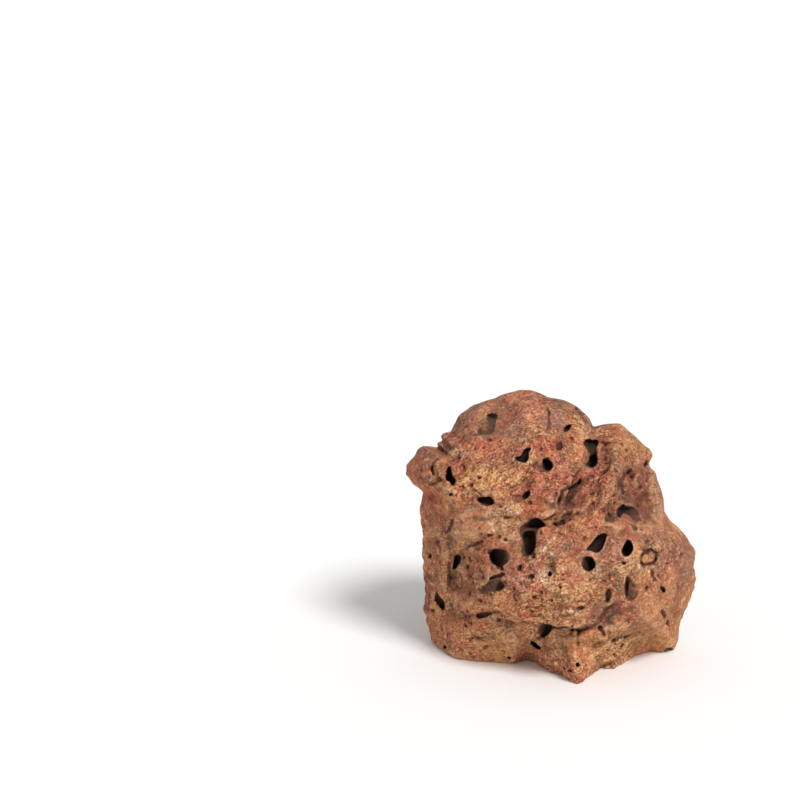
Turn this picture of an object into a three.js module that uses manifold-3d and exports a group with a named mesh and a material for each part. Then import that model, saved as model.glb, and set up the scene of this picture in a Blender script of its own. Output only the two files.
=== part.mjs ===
// A porous aquascape stone: one natural lump of rusty, bubble-holed rock, 150 mm wide.
//
// It is one solid. Its front is laid out as it is seen, from an eye one metre away and a little
// above it: the outline, the ledges, the swells and the pores are given where they are seen, and
// each one is carried along the line of sight until it meets the stone. The sides, top and back go
// on with the same lumps, ledges and pores. The underside is worn flat where the stone rests.
//
// Millimetres. +X is to the viewer's right, +Y is away from the viewer and +Z is up. The origin is
// on the ground, under the middle of the stone.
import * as THREE from "three";
import { mergeVertices } from "three/addons/utils/BufferGeometryUtils.js";
import Module from "manifold-3d";

// Driving dimensions
const WIDTH = 150; // the stone's widest, left to right
const FRONT_DEPTH = 46; // from the stone's middle to its front, towards the eye
const BACK_DEPTH = 55; // from the stone's middle to its back
const MIDDLE = [0.6, -2.9, 63]; // the point that every direction and depth below is measured from
const EYE_DISTANCE = 1000; // from the eye to that point
const EYE_ELEVATION = THREE.MathUtils.degToRad(18);
const ROUNDNESS = 2.4; // 2 is an ellipsoid, and more is boxier

// The picture that the front was read from: its pixels across the stone, and the stone's middle.
const PICTURE_WIDTH = 290.5;
const PICTURE_MIDDLE = [553, 538];
const SCALE = WIDTH / PICTURE_WIDTH;

// The outline seen from the eye, in picture pixels, clockwise from the top. The lowest points lie
// a little under the ground, which cuts the stone there.
const OUTLINE = [
  [505, 392], [517, 387], [530, 388], [545, 396], [560, 399], [575, 406], [587, 417], [591, 427],
  [600, 423], [618, 421], [627, 429], [636, 437], [648, 446], [652, 454], [647, 459], [641, 463],
  [655, 469], [656, 476], [662, 489], [664, 508], [671, 518], [677, 522], [689, 533], [700, 547],
  [704, 575], [698, 594], [690, 610], [682, 616], [681, 630], [679, 644], [668, 641], [652, 638],
  [638, 643], [622, 660], [602, 660], [596, 672], [584, 689], [567, 672], [549, 664], [537, 653],
  [527, 652], [511, 662], [490, 661], [470, 666], [447, 663], [438, 657], [433, 647], [431, 638],
  [426, 628], [422, 620], [423, 597], [422, 580], [418, 560], [419, 540], [417, 520], [416, 500],
  [419, 493], [401, 486], [395, 474], [400, 462], [405, 452], [412, 442], [422, 433], [436, 449],
  [440, 446], [434, 434], [446, 432], [455, 414], [465, 408], [478, 402], [491, 399],
];

// The outline's depth: the lower part is a wedge, whose nose comes forward and whose two flanks
// fall away to the left and right of it.
const NOSE = { across: 14, left: 0.6, right: 0.95, blunt: 9, top: 30, bottom: -45, upper: 0.3, depth: -6 };

// Dents in the outline only nick the rim: further in, the outline is taken as its mean over some degrees.
const DENT_TURN = 12; // degrees to each side
const DENT_REACH = [0.62, 0.95]; // shares of the radius between which it turns from mean to exact

// The foot stands more upright than the lump above it.
const FOOT = { height: 16, upright: 0.8 };

// Swells and hollows of the front: picture x, y, then half width, half height and rise in mm,
// and the turn in degrees, anticlockwise.
const FRONT_SWELLS = [
  [505, 462, 26, 20, 6, 15],
  [420, 466, 6, 9, 5, 0],
  [480, 529, 14, 4.5, 3.5, 5],
  [484, 426, 7, 9, -3, -25],
  [592, 482, 7, 20, -3.4, -35],
  [568, 502, 7, 7, -3.4, -30],
  [613, 465, 5, 18, 3.5, -12],
  [640, 499, 9, 11, -6, 15],
  [631, 478, 4, 7, -2.5, 10],
  [655, 500, 3, 14, 2, 5],
  [640, 596, 22, 24, 4.5, 0],
  [464, 583, 8, 10, -5.5, 0],
  [444, 572, 3, 13, 2.5, 0],
  [498, 566, 9, 10, -2.5, 0],
  [529, 541, 6, 11, -3, 0],
  [545, 537, 4, 4.5, 3, 0],
  [606, 573, 8, 2.5, -2, 25],
  [560, 595, 20, 8, 3, 0],
  [608, 613, 4.5, 5, -4, 0],
  [566, 639, 10, 7, -5.5, 0],
  [583, 672, 14, 8, 5, 0],
  [498, 648, 9, 6, 3, 0],
  [655, 632, 8, 9, -2, 0],
  [611, 525, 4, 2.6, 2.2, 0],
  [641, 524, 5, 2.4, 2.2, 0],
  [470, 624, 13, 3, -2, 0],
  [577, 433, 8, 5, 2, 15],
  [583, 452, 3.5, 8, 1.5, 0],
  [458, 456, 5, 4, 1.2, 0],
  [506, 542, 11, 5, 2.5, 0],
  [517, 557, 2.5, 10, 2.2, 0],
  [474, 604, 15, 5, 2.2, 0],
  [515, 642, 4, 3, 1.5, 0],
  [532, 635, 8, 5, 2, 0],
  [624, 519, 4, 4, 1.6, 0],
  [606, 458, 4, 12, -1.5, -10],
  [658, 592, 6, 12, 1.5, 10],
  [560, 612, 12, 3, 1.2, 0],
];

// Ledges of the front: the edge in picture pixels, with the raised side on its left, then the
// rise and how far it reaches, in mm.
const FRONT_LEDGES = [
  {
    edge: [
      [525, 518], [543, 516], [556, 509], [559, 497], [571, 485], [584, 470], [586, 452], [583, 438],
      [592, 425],
    ],
    rise: 9, reach: 14,
  },
  {
    edge: [
      [453, 518], [468, 516], [480, 514], [494, 511], [510, 515], [527, 518],
    ],
    rise: 2.5, reach: 7,
  },
  {
    edge: [
      [460, 561], [466, 551], [476, 545], [488, 541],
    ],
    rise: 4, reach: 6,
  },
  {
    edge: [
      [474, 612], [490, 613], [508, 617], [530, 620], [548, 622], [562, 626], [579, 628], [592, 623],
      [604, 618],
    ],
    rise: 9, reach: 12,
  },
  {
    edge: [
      [613, 437], [612, 455], [609, 470], [602, 482], [600, 500], [594, 515], [588, 530],
    ],
    rise: 5, reach: 9,
  },
  {
    edge: [
      [604, 514], [612, 500], [618, 490], [620, 478], [630, 465],
    ],
    rise: 7, reach: 8,
  },
  {
    edge: [
      [664, 521], [648, 521], [633, 524], [618, 520], [603, 521],
    ],
    rise: 7, reach: 8,
  },
  {
    edge: [
      [683, 622], [682, 605], [680, 585], [676, 562],
    ],
    rise: 8, reach: 5,
  },
  {
    edge: [
      [450, 600], [450, 580], [452, 562], [455, 547],
    ],
    rise: 4, reach: 7,
  },
  {
    edge: [
      [652, 655], [640, 656], [622, 658], [608, 661], [599, 668],
    ],
    rise: 6, reach: 6,
  },
  {
    edge: [
      [556, 612], [574, 611], [588, 607],
    ],
    rise: 3.5, reach: 5,
  },
  {
    edge: [
      [598, 640], [612, 632], [628, 626],
    ],
    rise: 3, reach: 6,
  },
  {
    edge: [
      [478, 634], [492, 636], [506, 640], [522, 646],
    ],
    rise: 3, reach: 6,
  },
  {
    edge: [
      [464, 541], [474, 540], [486, 538], [498, 534],
    ],
    rise: -2.5, reach: 5,
  },
  {
    edge: [
      [553, 627], [562, 627], [580, 628],
    ],
    rise: 4, reach: 6,
  },
];

// The same for the back, as if seen through the stone: it can't be seen, so these are made up.
const BACK_SWELLS = [
  [498, 470, 24, 18, 7, 20],
  [612, 565, 20, 26, 6, -15],
  [522, 600, 17, 15, -6, 0],
  [585, 452, 15, 11, -5, 30],
  [462, 560, 11, 20, 4, 0],
];
const BACK_LEDGES = [
  { edge: [[438, 524], [478, 506], [528, 517], [576, 500], [620, 482], [658, 474]], rise: 7, reach: 16 },
  { edge: [[452, 622], [505, 600], [560, 606], [602, 588], [650, 600]], rise: 6, reach: 13 },
  { edge: [[566, 420], [572, 458], [560, 490], [570, 540]], rise: 5, reach: 12 },
];

// Pores of the front: picture x, y, then width, height and depth in mm, and the turn in degrees.
const PORES = [
  [545.5, 463, 5.6, 6.4, 13, 0],
  [538.5, 467, 8.2, 5.2, 7, 12],
  [523.2, 455.8, 3.4, 7.6, 9, -14],
  [517.3, 459.6, 5, 2.9, 8, 8],
  [564.3, 427, 3.3, 6, 9, -42],
  [446, 474.5, 2.5, 4.6, 5, -5],
  [449.8, 483, 3.6, 6, 8, 20],
  [486.5, 502.5, 8.2, 5, 8, -12],
  [470, 510, 8.6, 3.4, 2.2, 30],
  [525, 495.5, 3.2, 5.8, 7, -38],
  [525.5, 485.5, 3.8, 5, 3.5, -10],
  [589, 446, 7.2, 9.4, 5.5, 0],
  [592.5, 455, 3, 5.4, 9, -8],
  [590, 460.5, 5.6, 6.6, 13, 0],
  [528.5, 543.5, 7.4, 14, 16, 4],
  [537.5, 523, 7.4, 4.6, 11, -10],
  [526.5, 529, 8, 4, 6, -25],
  [498, 560, 9.4, 8.2, 12, -20],
  [503, 563.5, 8.6, 8, 5.5, 25],
  [457, 564.5, 3.8, 7.8, 10, -18],
  [497.5, 577, 10.4, 1.8, 5.5, 17],
  [495, 588, 11, 5.2, 5, 12],
  [502.5, 587.5, 4.2, 4, 8, 0],
  [487, 591, 4.2, 3.4, 6.5, 0],
  [441, 603.5, 4.2, 10.8, 8, 22],
  [485, 616.3, 8.6, 2.1, 6, 12],
  [547.5, 628.5, 7, 8, 9, -25],
  [538, 645.5, 7.4, 2.6, 8, -33],
  [596, 540.8, 7.2, 12.8, 13, -42],
  [627.5, 546, 5.4, 8.4, 15, -14],
  [589.3, 562.3, 7.4, 8.2, 12, 0],
  [632, 588.5, 7.4, 11.6, 6.5, 14],
  [609.5, 593, 3.4, 7.4, 6, -5],
  [621, 510, 6.6, 7.6, 12, -10],
  [631, 511.5, 10.4, 5.6, 5.5, -48],
  [608.5, 515.5, 5.6, 3.8, 3.6, 20],
  [662, 585, 5, 3, 6, -38],
  [665.5, 611.5, 2, 6.8, 4.5, 30],
  [482, 425.5, 10.8, 12, 3.6, -25],
  [489, 418, 4.6, 4.4, 5, 10],
  [480, 431.5, 7, 4, 5.5, 25],
  [620, 485, 2.4, 5.2, 4, 0],
  [670, 647, 4.4, 3.2, 4, 20],
  [676, 529, 4.2, 5, 3, 20],
];

// Pores of the sides, top and back are spread evenly over all directions.
const SPREAD_PORES = 60; // directions tried all round, the front's own share included
const SPREAD_SIZE = [3.6, 9.5]; // width across the mouth
const SPREAD_OVAL = [0.6, 1.4]; // height over width
const SPREAD_DEPTH = [0.9, 1.9]; // depth over width
const SPREAD_STRAY = { up: 0.05, round: 0.5 }; // how far each strays from the even spread
const SPREAD_FRONT = 2; // nearer to the eye than this, in front of the outline, is the front's own share
const SPREAD_LOWEST = 7; // no pore's middle is lower than this
const PORE_SIGHT = 0.6; // share of the line of sight in a front pore's axis, the rest is square to the skin
const PORE_SIDES = 7;
const PORE_PROFILE = [[0.9, 0.72], [0.65, 1.06], [0.3, 1]]; // share of depth, share of width, inside first
const PORE_MOUTH = 1.12; // share of width
const PORE_OVERSHOOT = 3; // how far a cutter stands out of the surface

// Lumps all over: wavelength and height, and the ledges that go round the sides and back.
const LUMPS = [[30, 3.6, 11], [13, 1.7, 23]];
const STRATA = {
  direction: [0.28, 0.18, 0.94], period: 16, height: 3.2, cliff: 0.75, warp: 9, wavelength: 34, seed: 5,
  frontShare: 0.2, frontDepth: 20,
};

// Lumps, swells and ledges die away towards the outline, which is drawn as it is.
const CALM_RIM = 0.12; // share of the lumps that is left at the outline
const CALM_DEPTH = [6, 33]; // depths from the outline between which lumps grow to their full height
const RELIEF_DEPTH = [2, 16]; // the same for swells and ledges

// Flat broken faces on the back and sides: direction in degrees round from +X, tilt up, distance.
const BREAKS = [[58, 6, 52], [126, -4, 52], [88, 38, 66], [20, 30, 86], [158, 34, 84]];
const BREAK_ROUNDING = 6;

// The underside: hollows between the patches that the stone has been worn flat on.
const UNDERSIDE = { wavelength: 36, height: 3, bias: 1.6, seed: 41, rounding: 1.5 };

const FACETS = 13; // subdivisions of the icosahedron that the skin is spread over
const FAR = 130; // farther from the middle than any part of the stone
const WALK = 2; // steps in which a line is walked until it meets the stone
const HALVINGS = 14; // how often the last step is halved
const SLOPE_STEP = 1.5; // how far apart the skin's slope is measured, to each side
const GROUND = { reach: 400, depth: 100 };
const MERGE = 1e-3; // corners closer together than this are one

const smooth = (low, high, x) => THREE.MathUtils.smoothstep(x, low, high);

// A random number from -1 to 1 that belongs to one corner of a cubic lattice.
function cornerValue(i, j, k, seed) {
  let h = Math.imul(i, 374761393) ^ Math.imul(j, 668265263);
  h = h ^ Math.imul(k, 1274126177) ^ Math.imul(seed, 97531);
  h = Math.imul(h ^ (h >>> 15), 2246822519);
  h = Math.imul(h ^ (h >>> 13), 3266489917);
  return ((h ^ (h >>> 16)) >>> 0) / 2147483647.5 - 1;
}

// Cubic B-spline weights of the four corners round a fraction t.
function splineWeights(t) {
  const s = 1 - t;
  const near = (u) => (3 * u ** 3 - 6 * u ** 2 + 4) / 6;
  return [s ** 3 / 6, near(t), near(s), t ** 3 / 6];
}

// Smooth noise, about -1 to 1: a cubic B-spline through the lattice's random corners.
function noise(p, wavelength, seed) {
  const cell = p.map((v) => v / wavelength);
  const base = cell.map(Math.floor);
  const [wx, wy, wz] = cell.map((v, n) => splineWeights(v - base[n]));
  let sum = 0;
  for (let i = 0; i < 4; i++)
    for (let j = 0; j < 4; j++)
      for (let k = 0; k < 4; k++)
        sum += wx[i] * wy[j] * wz[k] * cornerValue(base[0] + i - 1, base[1] + j - 1, base[2] + k - 1, seed);
  return 3 * sum;
}

// A picture point as mm right of and above the stone's middle, in the plane through the middle.
const fromPicture = ([x, y]) => [(x - PICTURE_MIDDLE[0]) * SCALE, (PICTURE_MIDDLE[1] - y) * SCALE];

const COS = Math.cos(EYE_ELEVATION);
const SIN = Math.sin(EYE_ELEVATION);

// Where the eye sees a point of the stone: right of and above the middle, and towards the eye. For an
// upright foot the lowest heights are raised first, the more so the lower they are.
function seen([x, y, z], upright = 0) {
  const low = Math.max(FOOT.height - z, 0);
  const raised = z + (upright * low * low) / (2 * FOOT.height);
  const [dx, dy, dz] = [x - MIDDLE[0], y - MIDDLE[1], raised - MIDDLE[2]];
  const towards = dz * SIN - dy * COS;
  const nearer = EYE_DISTANCE / (EYE_DISTANCE - towards);
  return [dx * nearer, (dy * SIN + dz * COS) * nearer, towards];
}

// The point of space that the eye sees there: the reverse of seen().
function placed([right, up, towards]) {
  const farther = (EYE_DISTANCE - towards) / EYE_DISTANCE;
  return [
    MIDDLE[0] + right * farther,
    MIDDLE[1] + up * farther * SIN - towards * COS,
    MIDDLE[2] + up * farther * COS + towards * SIN,
  ];
}

// The outline's corners as angle and radius, sorted by angle.
const CORNERS = OUTLINE.map(fromPicture)
  .map(([a, b]) => [Math.atan2(b, a), Math.hypot(a, b)])
  .sort((p, q) => p[0] - q[0]);

// The outline's radius at an angle, straight between its corners.
function cornerRadius(angle) {
  const next = CORNERS.findIndex(([a]) => a > angle);
  const high = next < 0 ? 0 : next;
  const low = (high + CORNERS.length - 1) % CORNERS.length;
  const turn = 2 * Math.PI;
  const span = (CORNERS[high][0] - CORNERS[low][0] + turn) % turn;
  const share = ((angle - CORNERS[low][0] + turn) % turn) / span;
  return CORNERS[low][1] + (CORNERS[high][1] - CORNERS[low][1]) * share;
}

// The same at every whole degree, exact and as a mean over its neighbours.
const DEGREES = 360;
const EXACT = Array.from({ length: DEGREES }, (_, n) => {
  return cornerRadius(THREE.MathUtils.degToRad(n - DEGREES / 2));
});
const MEAN = EXACT.map((_, n) => {
  let sum = 0;
  for (let m = -DENT_TURN; m <= DENT_TURN; m++) sum += EXACT[(n + m + DEGREES) % DEGREES];
  return sum / (2 * DENT_TURN + 1);
});

// A value of such a table at any angle, in between by straight lines.
function atAngle(table, angle) {
  const degrees = THREE.MathUtils.radToDeg(angle) + DEGREES / 2;
  const low = Math.floor(degrees);
  const share = degrees - low;
  return table[low % DEGREES] * (1 - share) + table[(low + 1) % DEGREES] * share;
}

// The outline's radius for a point of the eye's plane.
function rimRadius(a, b) {
  const angle = Math.atan2(b, a);
  const mean = atAngle(MEAN, angle);
  return mean + (atAngle(EXACT, angle) - mean) * smooth(...DENT_REACH, Math.hypot(a, b) / mean);
}

// How far towards the eye the outline itself lies.
function rimDepth(a, b) {
  const slope = a < NOSE.across ? NOSE.left : NOSE.right;
  const wedge = Math.hypot((a - NOSE.across) * slope, NOSE.blunt) - NOSE.blunt;
  const low = NOSE.upper + (1 - NOSE.upper) * smooth(-NOSE.top, -NOSE.bottom, -b);
  return NOSE.depth - wedge * low;
}

// A swell's rise at a point of the front: a bell over an ellipse.
function swellRise(a, b, [x, y, halfWidth, halfHeight, rise, turn]) {
  const [ca, cb] = fromPicture([x, y]);
  const angle = THREE.MathUtils.degToRad(turn);
  const u = ((a - ca) * Math.cos(angle) + (b - cb) * Math.sin(angle)) / halfWidth;
  const v = ((b - cb) * Math.cos(angle) - (a - ca) * Math.sin(angle)) / halfHeight;
  return rise * Math.exp(-(u * u + v * v));
}

const LEDGE_EDGE = 2.2; // half the width of the cliff

// A ledge's rise: up on the left of its edge and down on the right, dying away with distance and
// towards both ends.
function ledgeRise(a, b, { edge, rise, reach }) {
  const points = edge.map(fromPicture);
  const lengths = points.slice(1).map((p, i) => Math.hypot(p[0] - points[i][0], p[1] - points[i][1]));
  const total = lengths.reduce((sum, l) => sum + l, 0);
  let [nearest, side, along, gone] = [Infinity, 0, 0, 0];
  for (let i = 0; i < lengths.length; i++) {
    const [dx, dy] = [points[i + 1][0] - points[i][0], points[i + 1][1] - points[i][1]];
    const [px, py] = [a - points[i][0], b - points[i][1]];
    const t = THREE.MathUtils.clamp((px * dx + py * dy) / (lengths[i] * lengths[i]), 0, 1);
    const distance = Math.hypot(px - t * dx, py - t * dy);
    if (distance < nearest) {
      nearest = distance;
      side = Math.sign(dx * py - dy * px);
      along = (gone + t * lengths[i]) / total;
    }
    gone += lengths[i];
  }
  const fade = smooth(0, 0.15, along) * smooth(0, 0.15, 1 - along);
  return 0.5 * rise * fade * Math.tanh((side * nearest) / LEDGE_EDGE) * Math.exp(-nearest / reach);
}

function relief(a, b, swells, ledges) {
  const swelling = swells.reduce((sum, swell) => sum + swellRise(a, b, swell), 0);
  return swelling + ledges.reduce((sum, ledge) => sum + ledgeRise(a, b, ledge), 0);
}

const BREAK_PLANES = BREAKS.map(([round, up, distance]) => {
  const [r, u] = [THREE.MathUtils.degToRad(round), THREE.MathUtils.degToRad(up)];
  return [Math.cos(r) * Math.cos(u), Math.sin(r) * Math.cos(u), Math.sin(u), distance];
});

// The larger of two distances, with a rounded edge between them.
function roundedMax(x, y, rounding) {
  const h = Math.max(rounding - Math.abs(x - y), 0);
  return Math.max(x, y) + (h * h) / (4 * rounding);
}

// The ledges that go all round, from -0.5 to 0.5: a saw of layers, bent by a broad noise.
function strata(offset) {
  const along = STRATA.direction.reduce((sum, part, n) => sum + part * offset[n], 0);
  const layer = (along + STRATA.warp * noise(offset, STRATA.wavelength, STRATA.seed)) / STRATA.period;
  const rise = layer - Math.floor(layer);
  return smooth(0, STRATA.cliff, rise) - smooth(STRATA.cliff, 1, rise) - 0.5;
}

// How far a point is outside the stone's skin, in mm, before its pores: negative is inside.
function outside(p) {
  const [a, b, towards] = seen(p, FOOT.upright);
  const share = Math.hypot(a, b) / rimRadius(a, b);
  let depth = towards - rimDepth(a, b) * share * share;
  const facing = smooth(...RELIEF_DEPTH, Math.abs(depth));
  if (facing > 0 && depth > 0) depth -= facing * relief(a, b, FRONT_SWELLS, FRONT_LEDGES);
  else if (facing > 0) depth += facing * relief(a, b, BACK_SWELLS, BACK_LEDGES);
  const out = Math.abs(depth) / (depth > 0 ? FRONT_DEPTH : BACK_DEPTH);
  const size = Math.pow(share ** ROUNDNESS + out ** ROUNDNESS, 1 / ROUNDNESS);
  let distance = Math.hypot(a, b, depth) * (1 - 1 / size);
  const offset = p.map((v, n) => v - MIDDLE[n]);
  for (const [x, y, z, far] of BREAK_PLANES)
    distance = roundedMax(distance, x * offset[0] + y * offset[1] + z * offset[2] - far, BREAK_ROUNDING);
  const calm = CALM_RIM + (1 - CALM_RIM) * smooth(...CALM_DEPTH, Math.abs(depth));
  for (const [wavelength, height, seed] of LUMPS) distance -= calm * height * noise(offset, wavelength, seed);
  const bare = (1 - STRATA.frontShare) * smooth(0, STRATA.frontDepth, depth);
  distance -= STRATA.height * calm * (1 - bare) * strata(offset);
  const hollow = noise([offset[0], offset[1], 0], UNDERSIDE.wavelength, UNDERSIDE.seed);
  const under = UNDERSIDE.height * hollow - UNDERSIDE.bias;
  return roundedMax(distance, under - p[2], UNDERSIDE.rounding);
}

// The distance from start, along a unit direction, at which a line coming from outside first
// meets the skin.
function reach(start, direction, from) {
  const at = (t) => start.map((v, n) => v + t * direction[n]);
  let t = from;
  while (outside(at(t)) > 0) t += WALK;
  let [clear, buried] = [t - WALK, t];
  for (let i = 0; i < HALVINGS; i++) {
    const middle = (clear + buried) / 2;
    if (outside(at(middle)) > 0) clear = middle;
    else buried = middle;
  }
  return buried;
}

const wasm = await Module();
wasm.setup();

// A closed three.js geometry as a solid that can be joined and cut.
function solidOf(geometry) {
  const bare = geometry.index ? geometry.toNonIndexed() : geometry.clone();
  bare.deleteAttribute("normal");
  bare.deleteAttribute("uv");
  const merged = mergeVertices(bare, MERGE);
  return new wasm.Manifold(
    new wasm.Mesh({
      numProp: 3,
      vertProperties: new Float32Array(merged.attributes.position.array),
      triVerts: new Uint32Array(merged.index.array),
    }),
  );
}

// The skin without pores: a fine icosahedron whose corners are pulled in to the stone.
function skin() {
  const ball = new THREE.IcosahedronGeometry(1, FACETS);
  ball.deleteAttribute("normal");
  ball.deleteAttribute("uv");
  const geometry = mergeVertices(ball, MERGE);
  const position = geometry.attributes.position;
  for (let i = 0; i < position.count; i++) {
    const direction = [position.getX(i), position.getY(i), position.getZ(i)];
    const length = Math.hypot(...direction);
    const unit = direction.map((v) => v / length);
    const t = -reach(MIDDLE, unit.map((v) => -v), -FAR);
    position.setXYZ(i, ...MIDDLE.map((v, n) => v + t * unit[n]));
  }
  return solidOf(geometry);
}

// The outward direction of the skin at a point: the slope of outside().
function outward(p) {
  const moved = (n, step) => p.map((v, m) => v + (m === n ? step : 0));
  const slope = [0, 1, 2].map((n) => outside(moved(n, SLOPE_STEP)) - outside(moved(n, -SLOPE_STEP)));
  return new THREE.Vector3(...slope).normalize();
}

// A pore's cutter: an oval flask, a little wider inside than at its mouth, along the axis into the
// stone.
function poreCutter(mouth, axis, upward, width, height, depth) {
  const profile = [new THREE.Vector2(0, -depth)];
  for (const [share, radius] of PORE_PROFILE) profile.push(new THREE.Vector2(radius, -share * depth));
  profile.push(new THREE.Vector2(PORE_MOUTH, PORE_OVERSHOOT), new THREE.Vector2(0, PORE_OVERSHOOT));
  const flask = new THREE.LatheGeometry(profile, PORE_SIDES);
  flask.scale(width / 2, 1, height / 2);
  const inward = axis.clone().negate();
  const side = new THREE.Vector3().crossVectors(inward, upward).normalize();
  const top = new THREE.Vector3().crossVectors(side, inward).normalize();
  flask.applyMatrix4(new THREE.Matrix4().makeBasis(side, inward, top));
  flask.translate(...mouth);
  return solidOf(flask);
}

// The front's pores, each where the line of sight through it meets the stone.
function frontPores() {
  const sight = new THREE.Vector3(0, COS, -SIN);
  return PORES.map(([x, y, width, height, depth, turn]) => {
    const [a, b] = fromPicture([x, y]);
    const from = placed([a, b, FRONT_DEPTH * 1.5]);
    const to = placed([a, b, -1.2 * FRONT_DEPTH]);
    const line = to.map((v, n) => v - from[n]);
    const unit = line.map((v) => v / Math.hypot(...line));
    const t = reach(from, unit, 0);
    const mouth = from.map((v, n) => v + t * unit[n]);
    const axis = outward(mouth).multiplyScalar(PORE_SIGHT - 1).addScaledVector(sight, PORE_SIGHT).normalize();
    const upward = new THREE.Vector3(0, SIN, COS).applyAxisAngle(sight, -THREE.MathUtils.degToRad(turn));
    return poreCutter(mouth, axis, upward, width, height, depth);
  });
}

// A repeatable random number from 0 to 1.
const chance = (n) => {
  const wave = Math.sin(n * 12.9898) * 43758.5453;
  return wave - Math.floor(wave);
};

// The other pores: directions on a golden spiral, where they don't meet the front or the ground.
function spreadPores() {
  const cutters = [];
  const golden = Math.PI * (3 - Math.sqrt(5));
  for (let i = 0; i < SPREAD_PORES; i++) {
    const up = 1 - (2 * (i + 0.5)) / SPREAD_PORES + SPREAD_STRAY.up * (chance(i) - 0.5);
    const flat = Math.sqrt(Math.max(0, 1 - up * up));
    const round = i * golden + SPREAD_STRAY.round * (chance(i + 100) - 0.5);
    const unit = [flat * Math.cos(round), flat * Math.sin(round), up];
    const t = -reach(MIDDLE, unit.map((v) => -v), -FAR);
    const mouth = MIDDLE.map((v, n) => v + t * unit[n]);
    const [a, b, towards] = seen(mouth);
    const share = Math.hypot(a, b) / rimRadius(a, b);
    const onFront = towards - rimDepth(a, b) * share * share > SPREAD_FRONT;
    if (onFront || mouth[2] < SPREAD_LOWEST) continue;
    const size = SPREAD_SIZE[0] + (SPREAD_SIZE[1] - SPREAD_SIZE[0]) * chance(i + 200) ** 2;
    const oval = SPREAD_OVAL[0] + (SPREAD_OVAL[1] - SPREAD_OVAL[0]) * chance(i + 300);
    const normal = outward(mouth);
    const upward = new THREE.Vector3(chance(i + 400) - 0.5, chance(i + 500) - 0.5, chance(i + 600) - 0.5);
    const depth = size * (SPREAD_DEPTH[0] + (SPREAD_DEPTH[1] - SPREAD_DEPTH[0]) * chance(i + 700));
    cutters.push(poreCutter(mouth, normal.negate(), upward, size, size * oval, depth));
  }
  return cutters;
}

// The stone: the skin, cut by the ground and by every pore.
function stone() {
  const ground = new THREE.BoxGeometry(GROUND.reach, GROUND.reach, GROUND.depth);
  ground.translate(0, 0, -GROUND.depth / 2);
  let solid = skin().subtract(solidOf(ground));
  for (const cutter of [...frontPores(), ...spreadPores()]) solid = solid.subtract(cutter);
  const whole = solid.decompose().sort((p, q) => q.volume() - p.volume())[0];
  const { vertProperties, triVerts } = whole.getMesh();
  const geometry = new THREE.BufferGeometry();
  geometry.setAttribute("position", new THREE.BufferAttribute(vertProperties, 3));
  geometry.setIndex(new THREE.BufferAttribute(triVerts, 1));
  geometry.computeVertexNormals();
  const rust = new THREE.MeshStandardMaterial({ color: 0xa87048, roughness: 0.95, metalness: 0 });
  const mesh = new THREE.Mesh(geometry, rust);
  mesh.name = "stone";
  return mesh;
}

const root = new THREE.Group();
root.add(stone());
export default root;
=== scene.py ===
"""A porous aquascape stone on a pale floor: one lump of rusty, bubble-holed rock."""
import itertools
import math
import bpy
import numpy as np
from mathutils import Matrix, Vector


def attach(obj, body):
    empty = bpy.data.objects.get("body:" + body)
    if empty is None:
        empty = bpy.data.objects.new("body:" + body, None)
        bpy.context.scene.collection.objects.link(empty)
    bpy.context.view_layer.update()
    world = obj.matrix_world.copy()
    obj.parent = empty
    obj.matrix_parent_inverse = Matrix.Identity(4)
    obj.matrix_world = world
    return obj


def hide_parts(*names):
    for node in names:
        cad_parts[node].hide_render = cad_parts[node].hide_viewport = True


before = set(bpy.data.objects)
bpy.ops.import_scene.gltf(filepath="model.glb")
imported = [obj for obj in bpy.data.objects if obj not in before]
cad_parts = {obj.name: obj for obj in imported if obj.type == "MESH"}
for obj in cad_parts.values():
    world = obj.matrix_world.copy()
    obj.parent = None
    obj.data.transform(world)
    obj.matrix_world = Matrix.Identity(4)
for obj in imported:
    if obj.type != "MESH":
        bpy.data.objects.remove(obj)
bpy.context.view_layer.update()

# The view
# The stone is seen from an eye one metre away and a little above it. Its middle lies right of and
# below the centre of the picture, so the camera is turned away from it to the left and raised.
# Lengths are in millimetres until they go to Blender, which gets metres.
METRE = 1000
PICTURE = 800
PICTURE_MIDDLE = (553, 538)
PICTURE_WIDTH = 290.5
WIDTH = 150
SCALE = WIDTH / PICTURE_WIDTH
EYE_DISTANCE = 1000
EYE_ELEVATION = math.radians(18)
MIDDLE = np.array((0.6, -2.9, 63))
SENSOR = 36
LENS_TRIM = 0.9915

cos_eye = math.cos(EYE_ELEVATION)
sin_eye = math.sin(EYE_ELEVATION)
SIGHT = np.array((0, cos_eye, -sin_eye))
RIGHTWARD = np.array((1, 0, 0))
LEVEL = np.array((0, sin_eye, cos_eye))


def add_object(name, data):
    """A new object in the scene."""
    made = bpy.data.objects.new(name, data)
    bpy.context.scene.collection.objects.link(made)
    return made


def add_camera():
    """Aim a level camera so that the stone's middle falls on its own pixel."""
    pixels = EYE_DISTANCE / SCALE * LENS_TRIM
    right = PICTURE_MIDDLE[0] - PICTURE / 2
    up = PICTURE / 2 - PICTURE_MIDDLE[1]
    right, up, ahead = np.array((right, up, pixels)) / math.hypot(right, up, pixels)
    down = math.asin(sin_eye / math.hypot(up, ahead)) - math.atan2(-up, ahead)
    left = math.atan2(right, up * math.sin(down) + ahead * math.cos(down))
    camera = bpy.data.cameras.new("camera")
    camera.sensor_width = SENSOR
    camera.lens = SENSOR * pixels / PICTURE
    holder = add_object("camera", camera)
    holder.location = (MIDDLE - EYE_DISTANCE * SIGHT) / METRE
    holder.rotation_euler = (math.pi / 2 - down, 0, left)
    bpy.context.scene.camera = holder


add_camera()

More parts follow.
